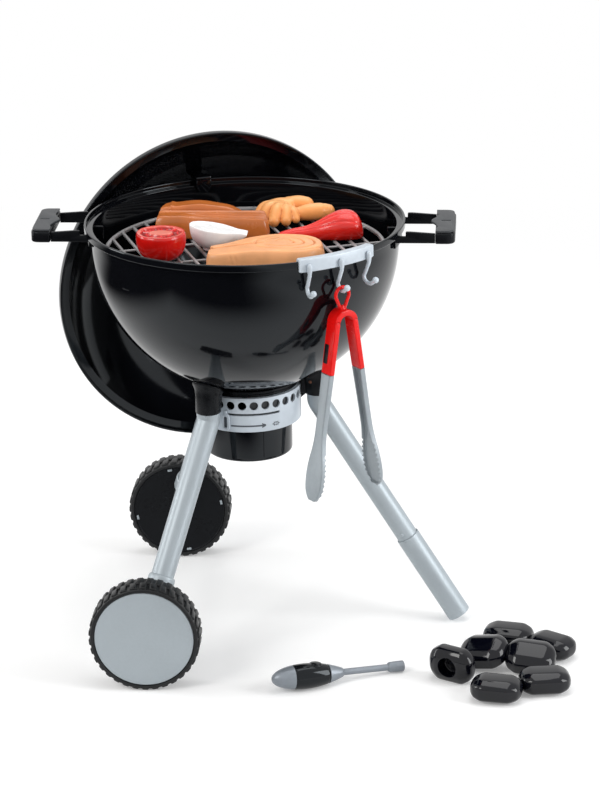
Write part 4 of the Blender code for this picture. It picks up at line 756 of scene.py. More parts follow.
def makeLegs():
    for end, degrees in (("rear", 120), ("front", -120)):
        makeSocket(end + "LegSocket", degrees, leg["wheelLeg"])
        finish = leg["bracketLow"] - 0.003
        addPiece(end + "Leg", pipe(legPath(finish), leg["wheelLeg"], 48), "silver_grey",
                 "grill", [end + "_leg"], site @ turnZ(degrees))
    makeSocket("plainLegSocket", 0, leg["plainLeg"])
    low = leg["sleeve"] * math.sin(leg["splay"])
    along = Vector((math.sin(leg["splay"]), 0, -math.cos(leg["splay"])))
    foot = Vector((legRadiusAt(low), 0, low))
    stop = foot - along * (leg["plug"] + clearance)
    addPiece("plainLeg", pipe(legPath(stop.z), leg["plainLeg"], 48), "silver_grey", "grill",
             ["plain_leg"])
    bore, plug = leg["plainLeg"] + clearance, leg["plug"]
    sleeve = spun(softened([(0, 0), (leg["sleeve"], 0, 0.0008),
                            (leg["sleeve"], leg["sleeveLength"], 0.0004),
                            (bore, leg["sleeveLength"], 0.0002), (bore, plug), (0, plug)], 4,
                           closed=False), 64)
    lay = Matrix.Translation(foot) @ zAlong(-along)
    addPiece("footSleeve", sleeve, "silver_grey", "grill", ["foot_sleeve"], site @ lay)
    nub = orb((0, 0, 0), leg["snap"], 24)
    spot = foot - along * (leg["sleeveLength"] + leg["snapRise"])
    toward = Vector((-0.30, -0.90, 0.1)).normalized()
    side = (toward - along * toward.dot(along)).normalized()
    nub.transform(Matrix.Translation(spot + side * leg["plainLeg"]) @ zAlong(side))
    addPiece("footSnap", nub, "silver_grey", "grill")


makeLegs()

wheel = {
    "axleX": -0.08636, "axleZ": 0.0518, "innerFace": 0.14717, "width": 0.0273,
    "radius": 0.0518, "thick": 0.0052, "tread": 0.0021, "lugs": 34, "lugShare": 0.66,
    "drum": 0.0463, "hub": 0.0085, "hubProud": 0.0005, "bore": 0.0033, "plate": 0.0026,
    "bodyInset": 0.0006, "cover": 0.0461, "coverThick": 0.0019, "dome": 0.0014,
    "tab": (0.0437, 0.0022, 0.0046), "tabTurn": -11.5, "axle": 0.003,
    # radii of the step round the inner plate, how deep that plate lies, the drum's wall
    "plateStep": (0.0456, 0.0452), "plateSink": 0.0006, "drumWall": 0.0026,
    "coverSink": 0.0006, "rodShort": 0.0045,
}


def legPoint(height, side):
    turn = math.radians(120) * side
    return Vector((legRadiusAt(height) * math.cos(turn), legRadiusAt(height) * math.sin(turn),
                   height))


def makeBracket(end, side):
    top, low = legPoint(leg["bracketTop"], side), legPoint(leg["bracketLow"], side)
    along = (low - top).normalized()
    out = wheel["innerFace"] - wheel["hubProud"] - clearance
    outer = leg["wheelLeg"] + leg["bracketWall"]
    sleeve = spun(softened([(0, 0), (outer - 0.0008, 0, 0.001), (outer, 0.0022, 0.0006),
                            (outer, (low - top).length, 0.0012),
                            (0, (low - top).length + 0.0012)], 3, closed=False), 48)
    sleeve.transform(Matrix.Translation(top) @ zAlong(along))
    boss = Vector((wheel["axleX"], side * (out - leg["bossLength"] / 2), wheel["axleZ"]))
    strut = pipe([low - along * leg["strut"], low + (boss - low) * 0.3, boss],
                 [leg["strut"] * 1.15, leg["strut"], leg["strut"] * 0.92], 40)
    hub = pipe([(wheel["axleX"], side * (out - leg["bossLength"]), wheel["axleZ"]),
                (wheel["axleX"], side * out, wheel["axleZ"])], leg["boss"], 48, edge=0.0008)
    body = carved(carved(sleeve, strut, 'UNION'), hub, 'UNION')
    bore = pipe([top - along * 0.01, low - along * 0.004], leg["wheelLeg"] + 0.0002, 48)
    body = carved(body, bore)
    addPiece(end + "AxleBracket", body, "silver_grey", "grill", [end + "_axle_bracket"])


def makeTyre():
    # A band with soft shoulders carries two rows of lugs, the outer half a lug on.
    w = wheel
    foot = w["radius"] - w["tread"]
    inner = w["radius"] - w["thick"]
    band = spun(softened([(inner, 0.0, 0.0004), (foot + 0.0003, 0.0, 0.0022),
                          (foot + 0.0003, w["width"], 0.0022),
                          (inner, w["width"], 0.0004)], 5), 136, closed=True)
    pitch = 2 * math.pi / w["lugs"]
    lugs = []
    rows = ((0.0016, w["width"] * 0.53, 0.0),
            (w["width"] * 0.47, w["width"] - 0.0016, 0.5))
    for low, high, phase in rows:
        for i in range(w["lugs"]):
            middle = pitch * (i + phase)
            bm = bmesh.new()
            corners = []
            for radius, share in ((foot - 0.0014, w["lugShare"] * 1.18),
                                  (w["radius"], w["lugShare"])):
                for height in (low, high):
                    lean = pitch * 0.10 * (1 if height == low else -1)
                    for way in (-1, 1):
                        a = middle + way * pitch * share / 2 + (lean if phase else -lean) * 0.5
                        corners.append(bm.verts.new((radius * math.cos(a),
                                                     radius * math.sin(a), height)))
            for ids in ((0, 1, 3, 2), (4, 6, 7, 5), (0, 4, 5, 1), (2, 3, 7, 6), (0, 2, 6, 4),
                        (1, 5, 7, 3)):
                bm.faces.new([corners[k] for k in ids])
            bmesh.ops.recalc_face_normals(bm, faces=bm.faces)
            bmesh.ops.bevel(bm, geom=bm.edges, offset=0.0013, segments=3, profile=0.5,
                            affect='EDGES', clamp_overlap=True)
            lugs.append(bm)
    return joined(band, *lugs)


def makeWheelBody(low):
    # A drum with a plate at its inner end, a hub, and holes for the cover's four tabs.
    w = wheel
    top, plate = low - clearance, w["bodyInset"] + w["plate"]
    sunk = w["bodyInset"] + w["plateSink"]
    outerStep, innerStep = w["plateStep"]
    inside = w["drum"] - w["drumWall"]
    drum = spun(softened([(w["drum"], top, 0.0003), (w["drum"], w["bodyInset"], 0.0008),
                          (outerStep, w["bodyInset"], 0.0003), (innerStep, sunk, 0.0003),
                          (w["hub"] + 0.0016, sunk, 0.0008),
                          (w["hub"], -w["hubProud"], 0.0005),
                          (w["bore"], -w["hubProud"], 0.0003),
                          (w["bore"], top - 0.002), (w["hub"], top - 0.002),
                          (w["hub"], plate), (inside, plate, 0.001),
                          (inside, top, 0.0003)], 3), 96, closed=True)
    away, deep, long = w["tab"]
    wide, far = deep / 2 + clearance, long / 2 + clearance
    holes = [moved(block((away - wide, -far, -0.004), (away + wide, far, 0.007), 0.0),
                   turnZ(90 * i + w["tabTurn"])) for i in range(4)]
    return carved(drum, joined(*holes))


def makeWheelCover(face, low):
    # A slightly domed disc with four snap tabs on its back.
    w = wheel
    dome = [(w["cover"] * 0.94 * (1 - k / 12), face + w["dome"] * (1 - (1 - k / 12) ** 2))
            for k in range(12, -1, -1)]
    under = [(r, z - w["coverThick"]) for r, z in reversed(dome)]
    edge = softened([dome[-1], (w["cover"], face, 0.0009), (w["cover"], low, 0.0004),
                     under[0]], 4, closed=False)
    disc = spun(dome + edge[1:-1] + under, 128)
    away, deep, long = w["tab"]
    tabs = [moved(block((away - deep / 2, -long / 2, w["plateSink"]),
                        (away + deep / 2, long / 2, low + 0.0006), 0.0003),
                  turnZ(90 * i + w["tabTurn"])) for i in range(4)]
    return joined(disc, *tabs)


def makeWheel(end, side):
    w = wheel
    place = site @ at(w["axleX"], side * w["innerFace"], w["axleZ"]) \
        @ Matrix.Rotation(-side * math.pi / 2, 4, 'X')
    body = end + "_wheel"
    face = w["width"] - w["coverSink"]
    low = face - w["coverThick"]
    addPiece(end + "Tyre", makeTyre(), "tyre_black", body, [end + "_tyre"], place)
    addPiece(end + "WheelBody", makeWheelBody(low), "satin_black", body,
             [end + "_wheel_body"], place)
    addPiece(end + "WheelCover", makeWheelCover(face, low), "silver_grey", body,
             [end + "_wheel_cover"], place)


for end, side in (("rear", 1), ("front", -1)):
    makeBracket(end, side)
    makeWheel(end, side)
reach = wheel["innerFace"] + wheel["width"] - wheel["rodShort"]
addPiece("axleRod", pipe([(wheel["axleX"], -reach, wheel["axleZ"]),
                          (wheel["axleX"], reach, wheel["axleZ"])], wheel["axle"], 32),
         "silver_grey", "grill", ["axle"])
print("stage: handles, legs and wheels made")


# Air ring group

ring = {
    "radius": 0.050, "low": 0.20978, "top": 0.24328, "wall": 0.002, "flange": 0.0016,
    "mouth": 0.041, "panGap": 0.0004, "holes": 28, "hole": 0.0041, "drop": 0.0074,
    "phase": -92.4, "slotDrop": 0.0161, "slotHeight": 0.0022, "slotRoom": 2.5,
    # middle radius and half depth of the cut that makes the slot
    "slotCut": (0.049, 0.005),
}
pan = {"radius": 0.0413, "inner": 0.0393, "floor": 0.17638, "thick": 0.0022, "overlap": 0.0025,
       "seamHalf": 0.0004, "seam": -66}
lever = {
    # azimuth at rest and travel in degrees
    "azimuth": -110.4, "travel": 58, "half": 0.0041, "tall": 0.0170, "thick": 0.001,
    "away": 0.0013, "rise": 0.0008, "stemHalf": 0.0015,
    # half width and half height of the eye and of the dark plate behind it
    "eye": (0.0017, 0.0056), "eyePlate": (0.0019, 0.0058),
}
gasket = {"radius": 0.0472, "low": 0.2436, "top": 0.24888, "depth": 0.0065,
          "groove": 0.0008, "grooveHalf": 0.0004}
ringMarks = {
    "drop": 0.0272, "thin": 0.0008, "proud": 0.00006,
    # angles in degrees, heights in metres
    "shaft": (-105, -68), "head": (-71, -66.5), "headHalf": (0.0012, 0.0024),
    "lens": (-59, -54.5, -50), "lensHalf": 0.0017, "lensThin": 0.0003,
    "strokes": (-56.8, -54.5, -52.2), "strokeHalf": (0.4, 0.0021),
}
slotHeight = ring["top"] - ring["slotDrop"]


def curvedStrip(low, high, fromAngle, toAngle, radius, proud, steps=24):
    # A strip round a drum: one that narrows to a point makes an arrowhead.
    rings = []
    for i in range(steps + 1):
        share = i / steps
        a = math.radians(fromAngle + (toAngle - fromAngle) * share)
        zLow = low[0] + (low[1] - low[0]) * share
        zHigh = high[0] + (high[1] - high[0]) * share
        rings.append([(r * math.cos(a), r * math.sin(a), z)
                      for r, z in ((radius - proud, zLow), (radius + proud, zLow),
                                   (radius + proud, zHigh), (radius - proud, zHigh))])
    return skinned(rings)


def makeAirRing():
    r = ring
    inner = r["radius"] - r["wall"]
    lip = pan["radius"] + r["panGap"]
    shell = spun(softened([(r["radius"], r["top"], 0.0006), (r["radius"], r["low"], 0.0008),
                           (lip, r["low"], 0.0004), (lip, r["low"] + r["flange"]),
                           (inner, r["low"] + r["flange"]), (inner, r["top"] - r["flange"]),
                           (r["mouth"], r["top"] - r["flange"]), (r["mouth"], r["top"])], 3),
                 168, closed=True)
    holes = []
    for i in range(r["holes"]):
        drill = pipe([(inner - 0.006, 0, r["top"] - r["drop"]),
                      (r["radius"] + 0.004, 0, r["top"] - r["drop"])], r["hole"], 28)
        holes.append(moved(drill, turnZ(r["phase"] + 360 * i / r["holes"])))
    shell = carved(shell, joined(*holes))
    low, high = slotHeight - r["slotHeight"] / 2, slotHeight + r["slotHeight"] / 2
    slot = curvedStrip((low, low), (high, high), lever["azimuth"] - r["slotRoom"],
                       lever["azimuth"] + lever["travel"] + r["slotRoom"], *r["slotCut"], 40)
    addPiece("airRing", carved(shell, slot), "pale_silver", "grill", ["air_ring"], sharp=30)


def makeRingMarks():
    # Generic marks: an arrow along the slot, and an open lens with three strokes at its end.
    m = ringMarks
    z, thin, line = ring["top"] - m["drop"], m["thin"], m["lensThin"]
    near, far = m["headHalf"]
    left, middle, right = m["lens"]
    wide, tall = m["strokeHalf"]
    marks = []

    def strip(low, high, start, stop):
        marks.append(curvedStrip(low, high, start, stop, ring["radius"], m["proud"]))

    strip((z - thin, z - thin), (z + thin, z + thin), *m["shaft"])
    strip((z - far, z - thin), (z - near, z + thin), *m["head"])
    strip((z + near, z - thin), (z + far, z + thin), *m["head"])
    for bow in (-m["lensHalf"], m["lensHalf"]):
        strip((z - line, z + bow - line), (z + line, z + bow + line), left, middle)
        strip((z + bow - line, z - line), (z + bow + line, z + line), middle, right)
    for degrees in m["strokes"]:
        strip((z - tall, z - tall), (z + tall, z + tall), degrees - wide, degrees + wide)
    addPiece("ringMarks", joined(*marks), "printGrey", "grill")


def makeGasket():
    g = gasket
    radius, middle, half = g["radius"], (g["low"] + g["top"]) / 2, g["grooveHalf"]
    outline = [(radius, g["top"], 0.0006), (radius, middle + half, 0.0003),
               (radius - g["groove"], middle, 0.0002), (radius, middle - half, 0.0003),
               (radius, g["low"], 0.0006), (radius - g["depth"], g["low"]),
               (radius - g["depth"], g["top"])]
    addPiece("neckGasket", spun(softened(outline, 3), 128, closed=True), "satin_black",
             "grill", ["neck_gasket"])


def capsule(half, tall, steps):
    return softBox((-half, -tall), (half, tall), half, steps)


def makeLever():
    # A flat loop in front of the slot, on a stem and a peg, with a dark plate in its eye.
    v = lever
    face, half = ring["radius"], v["stemHalf"]
    place = site @ turnZ(v["azimuth"] - 90)
    stand = at(0, face + v["away"], slotHeight + v["rise"] - v["tall"] / 2) @ upright
    loop = slab(capsule(v["half"], v["tall"] / 2, 10), -v["thick"], v["thick"], 0.0005,
                holes=[capsule(*v["eye"], 6)])
    dark = slab(capsule(*v["eyePlate"], 6), -0.0011, -0.0007, 0.0001)
    dark.transform(stand @ flipZ)
    addPiece("leverEye", dark, "printGrey", "damper", (), place)
    stem = block((-half, face + 0.0006, slotHeight - 0.0016),
                 (half, face + 0.0020, slotHeight + 0.0042), 0.0004)
    peg = block((-half, face - 0.0018, slotHeight - 0.0008),
                (half, face + v["away"], slotHeight + 0.0008), 0.0002)
    addPiece("ventLever", joined(moved(loop, stand), stem, peg), "pale_silver", "damper",
             ["vent_lever"], place)


def makePan():
    floor, inner, outer = pan["floor"], pan["inner"], pan["radius"]
    rim = ring["low"] + ring["flange"] + pan["overlap"]
    low = floor + pan["thick"]
    cup = spun(softened([(0, low), (inner, low, 0.003), (inner, rim, 0.0005),
                         (outer, rim, 0.0005), (outer, floor, 0.0034), (0, floor)], 6,
                        closed=False), 128)
    addPiece("ashPan", cup, "gloss_black", "pan", ["ash_pan"])
    seam = block((-pan["seamHalf"], outer - 0.0006, floor + 0.004),
                 (pan["seamHalf"], outer + 0.0002, rim - 0.005), 0.0002)
    addPiece("panSeam", seam, "satin_black", "pan", (), site @ turnZ(pan["seam"] - 90))


makeAirRing()
makeRingMarks()
makeGasket()
makeLever()
makePan()


# Lid, built with its rim in the XY plane and its dome towards +Z

lid = {
    "azimuth": 110.9, "lean": 2.2, "middle": (-0.03991, 0.11124, 0.30354),
    "radius": 0.1555, "depth": 0.095, "skirt": 0.008, "shoulder": 0.0075, "wall": 0.0024,
    "hook": 111.5, "hookWidth": 0.0152, "hookBridge": 0.0045, "hookReach": 0.176,
    "hookGap": 0.0013, "tab": 0.003, "tabDrop": 0.0145,
    "armSpread": 0.030, "armHeight": 0.030, "armWidth": 0.012, "armThick": 0.003,
    "armSink": 0.0082, "gripHalf": 0.041, "gripWidth": 0.020, "gripHeight": 0.013,
    "gripSink": 0.0057,
}
lean, facing = math.radians(lid["lean"]), math.radians(lid["azimuth"])
domeWay = Vector((math.cos(lean) * math.cos(facing), math.cos(lean) * math.sin(facing),
                  math.sin(lean)))
upWay = (Vector((0, 0, 1)) - domeWay * domeWay.z).normalized()
lidPlace = site @ at(*lid["middle"]) \
    @ Matrix((upWay.cross(domeWay), upWay, domeWay)).transposed().to_4x4()
domeBase, domeRise = lid["radius"] - lid["shoulder"], lid["depth"] - lid["skirt"]


def domeArc(base, rise, low, count):
    radius = (base ** 2 + rise ** 2) / (2 * rise)
    half = math.asin(base / radius)
    return [(radius * math.sin(half * (1 - i / count)),
             low + rise - radius + radius * math.cos(half * (1 - i / count)))
            for i in range(count)] + [(0.0, low + rise)]


def makeLidShell():
    outside, skirt, wall = lid["radius"], lid["skirt"], lid["wall"]
    outer = domeArc(domeBase, domeRise, skirt, 48)
    inner = domeArc(domeBase - wall, domeRise, skirt - wall, 48)
    edge = softened([outer[0], (outer[0][0] + 0.0004, skirt, 0.001), (outside, skirt, 0.0014),
                     (outside, 0, 0.0009), (outside - wall, 0, 0.0009),
                     (outside - wall, skirt - wall, 0.0008),
                     (inner[0][0] + 0.0003, skirt - wall, 0.0008), inner[0]], 4, closed=False)
    shell = spun(outer[::-1][:-1] + edge + inner[1:], 176)
    addPiece("lidShell", shell, "gloss_black", "lid", ["lid_shell"], lidPlace)


def makeLidHook():
    # A bridge over the bowl's rim that ends in the dome, and a tab that hangs inside the bowl.
    face = bowlInner - lid["hookGap"]
    low, half = bowl["top"] + clearance, lid["hookWidth"] / 2
    bridge = block((face - lid["tab"], -half, low),
                   (lid["hookReach"], half, low + lid["hookBridge"]), 0.0010)
    drop = lid["tabDrop"] - half
    outline = arcPoints((0, 0), half, math.pi, 2 * math.pi, 20) + [(half, drop), (-half, drop)]
    tab = slab(outline, -lid["tab"] / 2, lid["tab"] / 2, 0.0013, steps=4)
    tab.transform(at(face - lid["tab"] / 2, 0, low + lid["hookBridge"] / 2 - drop)
                  @ turnZ(90) @ upright)
    addPiece("lidHook", joined(bridge, tab), "gloss_black", "lid", ["lid_hook"],
             site @ turnZ(lid["hook"]))


def makeLidHandle():
    spread, thick, width = lid["armSpread"], lid["armThick"], lid["armWidth"]
    low, top = lid["depth"] - lid["armSink"], lid["depth"] + lid["armHeight"]
    foot = lid["depth"] + thick
    outline = softened([(-spread - thick, low), (spread + thick, low), (spread + thick, top),
                        (spread, top), (spread, foot, 0.003), (-spread, foot, 0.003),
                        (-spread, top), (-spread - thick, top)], 4)
    arms = moved(slab(outline, -width / 2, width / 2, 0.0008), upright)
    room = spun(domeArc(domeBase + clearance, domeRise + clearance, lid["skirt"], 32)[::-1]
                + [(domeBase, -0.02), (0, -0.02)], 96)
    addPiece("lidHandleFrame", carved(arms, room), "satin_black", "lid",
             ["lid_handle_frame"], lidPlace)
    low = top - lid["gripSink"]
    half, deep = lid["gripHalf"], lid["gripWidth"] / 2
    grip = block((-half, -deep, low), (half, deep, low + lid["gripHeight"]), 0.0032, 5)
    addPiece("lidHandleGrip", grip, "satin_black", "lid", ["lid_handle_grip"], lidPlace)


makeLidShell()
makeLidHook()
makeLidHandle()
print("stage: air ring, pan and lid made")


# Hook rail and hooks

rail = {
    "azimuth": -51.2, "span": 31.1, "spacing": 12.2, "thick": 0.0022, "outerDrop": 0.0098,
    "innerDrop": 0.0042, "innerGap": 0.0008, "endPull": 0.0006, "rod": 0.0018, "ball": 0.0029,
}
hook = {
    "seat": 0.1546, "boss": (0.4004, 0.3958, 0.3925), "bossRadii": (0.0023, 0.0023, 0.0017),
    # radius and height of the points above the bend, then the bend's centre, foot and radius
    "stem": ((0.1546, 0.4000), (0.1546, 0.3929), (0.1525, 0.38775), (0.14935, 0.3808)),
    "centre": 0.1549, "low": 0.3724, "turn": 0.0066, "tip": (1.15, 0.7),
}


def makeRail():
    outer, inner = bowl["rim"] + clearance, bowl["rim"] - bowl["wall"] - rail["innerGap"]
    top, thick = bowl["top"] + clearance, rail["thick"]
    outLow, inLow = bowl["top"] - rail["outerDrop"], bowl["top"] - rail["innerDrop"]
    section = softened([(outer + thick, top + thick, 0.0014), (outer + thick, outLow, 0.0008),
                        (outer, outLow, 0.0006), (outer, top, 0.0002), (inner, top, 0.0002),
                        (inner, inLow, 0.0005), (inner - thick, inLow, 0.0005),
                        (inner - thick, top + thick, 0.0014)], 3)
    rings = []
    steps = 48
    for i in range(steps + 1):
        share = i / steps
        a = math.radians(rail["azimuth"] + rail["span"] * (share - 0.5))
        # The two ends are drawn in, so that their corners look rounded.
        pull = rail["endPull"] * max(1 - min(share, 1 - share) * steps, 0.0)
        middle = (top + outLow) / 2
        rings.append([(r * math.cos(a), r * math.sin(a), z + pull * (1 if z < middle else -1))
                      for r, z in section])
    addPiece("hookRail", skinned(rings), "pale_silver", "rail", ["hook_rail"])


def hookPath():
    centre, low, turn = hook["centre"], hook["low"], hook["turn"]
    out, up = hook["tip"]
    points = list(hook["stem"])
    points += [(centre - turn * math.cos(math.pi * i / 5),
                low + turn - turn * math.sin(math.pi * i / 5)) for i in range(5)]
    points.append((centre + turn * out, low + turn * up))
    return smoothPath([(r, 0, z) for r, z in points], 5)


def makeHook(side, degrees):
    path = hookPath()
    rod = pipe(path, rail["rod"], 20, roundEnds=True)
    boss = pipe([(hook["seat"], 0, z) for z in hook["boss"]], hook["bossRadii"], 24,
                roundEnds=True)
    ball = orb(path[-1], (rail["ball"],) * 3, 32)
    addPiece(side + "Hook", joined(rod, boss, ball), "pale_silver", "rail", [side + "_hook"],
             site @ turnZ(degrees), 60)


makeRail()
for side, turn in (("left", -1), ("middle", 0), ("right", 1)):
    makeHook(side, rail["azimuth"] + turn * rail["spacing"])


# Tongs: local X across the arms, local Y out from the bowl, origin in the hook's turn

tongs = {
    "seat": 0.1549, "height": 0.3761, "loop": 0.0072, "loopRod": 0.0016, "loopLength": 0.0195,
    "thick": 0.0055, "width": 0.014, "crown": 0.0098, "drop": 0.0327, "arm": 0.047,
    "spread": 8.8, "blade": 0.119, "bladeDepth": 0.0052, "wall": 0.0016,
    # place along the blade, then half its width as a share of the arm's
    "shares": ((0, 0.485), (0.15, 0.455), (0.36, 0.425), (0.5, 0.440), (0.6, 0.56),
               (0.7, 0.76), (0.8, 0.86), (0.9, 0.82), (0.96, 0.64), (1.0, 0.34)),
    "toothStart": 0.62, "toothEnd": 0.985, "teeth": 9, "toothDepth": 0.0016,
    # two corners of the dark plate on the left arm, each a place across and a height
    "plate": ((-0.0056, -0.0375), (0.0004, -0.0195)),
}
tongsPlace = site @ turnZ(rail["azimuth"]) @ at(tongs["seat"], 0, tongs["height"]) @ turnZ(-90)
bladeOutline = [(p.x, p.y) for p in smoothPath(tongs["shares"], 8)]


def bladeHalf(share):
    for (a, one), (b, two) in zip(bladeOutline, bladeOutline[1:]):
        if share <= b:
            return (one + (two - one) * (share - a) / max(b - a, 1e-9)) * tongs["width"]
    return bladeOutline[-1][1] * tongs["width"]


def makeBlade(side, way, place):
    # A tray whose face lies outside and whose edges turn in, scalloped near the tip.
    t = tongs
    rings = []
    count = 120
    top = -t["arm"] - clearance
    outside = t["thick"] / 2
    start, stop = t["toothStart"], t["toothEnd"]
    for i in range(count + 1):
        share = i / count
        half = bladeHalf(share)
        depth = t["bladeDepth"] * (1 - 0.25 * max(share - 0.9, 0) / 0.1)
        if start < share < stop:
            tooth = (share - start) / (stop - start) * t["teeth"]
            depth -= t["toothDepth"] * (0.5 - 0.5 * math.cos(2 * math.pi * tooth)) ** 0.6
        wall = min(t["wall"], half * 0.45)
        # The first and last rings are nearly solid, so that the tray has end walls.
        deep = t["wall"] if min(share, 1 - share) * count > 1 else depth * 0.96
        section = softened([(outside, -half, 0.0012), (outside - depth, -half, 0.0004),
                            (outside - depth, -half + wall, 0.0004),
                            (outside - deep, -half + wall, 0.0006),
                            (outside - deep, half - wall, 0.0006),
                            (outside - depth, half - wall, 0.0004),
                            (outside - depth, half, 0.0004), (outside, half, 0.0012)], 3)
        rings.append([(way * x, y, top - share * t["blade"]) for x, y in section])
    addPiece("tongs" + side.title() + "Blade", skinned(rings), "tong_grey", "tongs_" + side,
             ["tongs_" + side + "_blade"], place, 50)


def makeCrown():
    t = tongs
    centre, half = -t["drop"], t["thick"] / 2
    outline = (arcPoints((0, centre), t["crown"] + half, 0, math.pi, 28)
               + arcPoints((0, centre), t["crown"] - half, math.pi, 0, 28))
    crown = moved(slab(outline, -t["width"] / 2, t["width"] / 2, 0.0009, steps=3), upright)
    rooms = [pipe([(way * t["crown"], -0.02, centre), (way * t["crown"], 0.02, centre)],
                  half + clearance, 40) for way in (-1, 1)]
    crown = carved(crown, joined(*rooms))
    foot = -t["loopLength"] - t["loopRod"]
    bend = [(x, 0, z) for x, z in arcPoints((0, -t["loop"]), t["loop"], -math.pi / 6,
                                            7 * math.pi / 6, 24)]
    path = [(0.0012, 0, foot - 0.001)] + bend + [(-0.0012, 0, foot - 0.001)]
    loop = pipe(smoothPath(path, 2), t["loopRod"], 20, roundEnds=True)
    neck = pipe([(0, 0, -t["loopLength"] + 0.001), (0, 0, -t["loopLength"] - 0.0012),
                 (0, 0, centre + t["crown"] + 0.001)], [0.0020, 0.0030, 0.0040], 32,
                roundEnds=True)
    addPiece("tongsCrown", joined(crown, loop, neck), "tong_red", "tongs", ["tongs_crown"],
             tongsPlace)


def makeArm(side, way):
    t = tongs
    half = t["thick"] / 2
    place = tongsPlace @ at(way * t["crown"], 0, -t["drop"]) \
        @ Matrix.Rotation(-way * math.radians(t["spread"]), 4, 'Y')
    outline = (arcPoints((0, 0), half, 0, math.pi, 16)
               + softened([(-half, -0.010), (-half * 0.92, -t["arm"], 0.001),
                           (half * 0.92, -t["arm"], 0.001), (half, -0.010)], 3, closed=False))
    arm = moved(slab(outline, -t["width"] / 2, t["width"] / 2, 0.0009, steps=3), upright)
    addPiece("tongs" + side.title() + "Arm", arm, "tong_red", "tongs_" + side,
             ["tongs_" + side + "_arm"], place)
    makeBlade(side, way, place)
    return place


def makeTongs():
    makeCrown()
    leftArm = makeArm("left", 1)
    # A plain dark plate where the real arm has its label.
    plate = slab(softBox(*tongs["plate"], 0.001, 4), -0.0003, 0.0001, 0.0001)
    # Its width runs along Y, its height up, and it faces +X.
    plate.transform(at(tongs["thick"] / 2 * 0.965, 0, 0)
                    @ Matrix(((0, 0, 1, 0), (1, 0, 0, 0), (0, 1, 0, 0), (0, 0, 0, 1))))
    addPiece("tongsPlate", plate, "satin_black", "tongs_left", (), leftArm)
    makeArm("right", -1)


makeTongs()
print("stage: rail, hooks and tongs made")


# Play food. Each shape is a field of heights over a plan outline, or melted lobes.

food = {"top": 0.3789,
        "rib": (-0.0335, 0.0375, 0), "chicken": (0.040, 0.084, 0),
        "pepper": (0.0685, 0.0235, 12), "tomato": (-0.074, -0.045, 0),
        "mushroom": (-0.023, -0.014, 0), "fish": (0.0235, -0.0475, 0)}


def foodPlace(name):
    x, y, degrees = food[name]
    return site @ at(x, y, food["top"]) @ turnZ(degrees)


def easeIn(value, low, high):
    share = min(max((value - low) / (high - low), 0.0), 1.0)
    return share * share * (3 - 2 * share)


def heightField(outline, spine, height, edge, rings):
    # Rings shrink from the outline to its spine. The edge is rounded over, the base is flat.
    # Each vertex also keeps the painted shade that height gives for its crease.
    bm = bmesh.new()
    layer = bm.verts.layers.float.new("crease")
    rows = []

    def row(share, lift):
        spots = []
        for x, y in outline:
            sx, sy = spine(x, y)
            px, py = x + (sx - x) * share, y + (sy - y) * share
            top, crease = height(px, py)
            vert = bm.verts.new((px, py, top * lift))
            vert[layer] = crease * lift
            spots.append(vert)
        rows.append(spots)

    tuck, foot, side = 0.05, 0.02, 0.12  # how far the base is drawn in, and two low rings
    for k in range(4):
        row(tuck * (1 - k / 3) ** 2, foot + 0.10 * k / 3)
    for k in range(1, 9):
        turn = math.pi / 2 * k / 8
        row(edge * (1 - math.cos(turn)), side + (1 - side) * math.sin(turn))
    for k in range(1, rings + 1):
        row(edge + (1 - edge) * k / rings, 1.0)
    bridged(bm, rows, capped=False)
    bm.faces.new(rows[0][::-1])
    bmesh.ops.remove_doubles(bm, verts=bm.verts, dist=2e-5)
    bmesh.ops.recalc_face_normals(bm, faces=bm.faces)
    return bm


def evenOutline(points, count):
    # The same outline with evenly spaced points.
    points = [Vector(p) for p in points]
    points.append(points[0])
    lengths = [0.0]
    for one, two in zip(points, points[1:]):
        lengths.append(lengths[-1] + (two - one).length)
    out, side = [], 0
    for i in range(count):
        want = lengths[-1] * i / count
        while lengths[side + 1] < want:
            side += 1
        share = (want - lengths[side]) / (lengths[side + 1] - lengths[side])
        spot = points[side].lerp(points[side + 1], share)
        out.append((spot.x, spot.y))
    return out


def closedSmooth(points, steps):
    loop = [points[-1]] + list(points) + [points[0], points[1]]
    curve = smoothPath([Vector(p) for p in loop], steps)
    return [(p.x, p.y) for p in curve[steps:-2 * steps]]


rib = {"length": 0.107, "width": 0.045, "height": 0.0228}


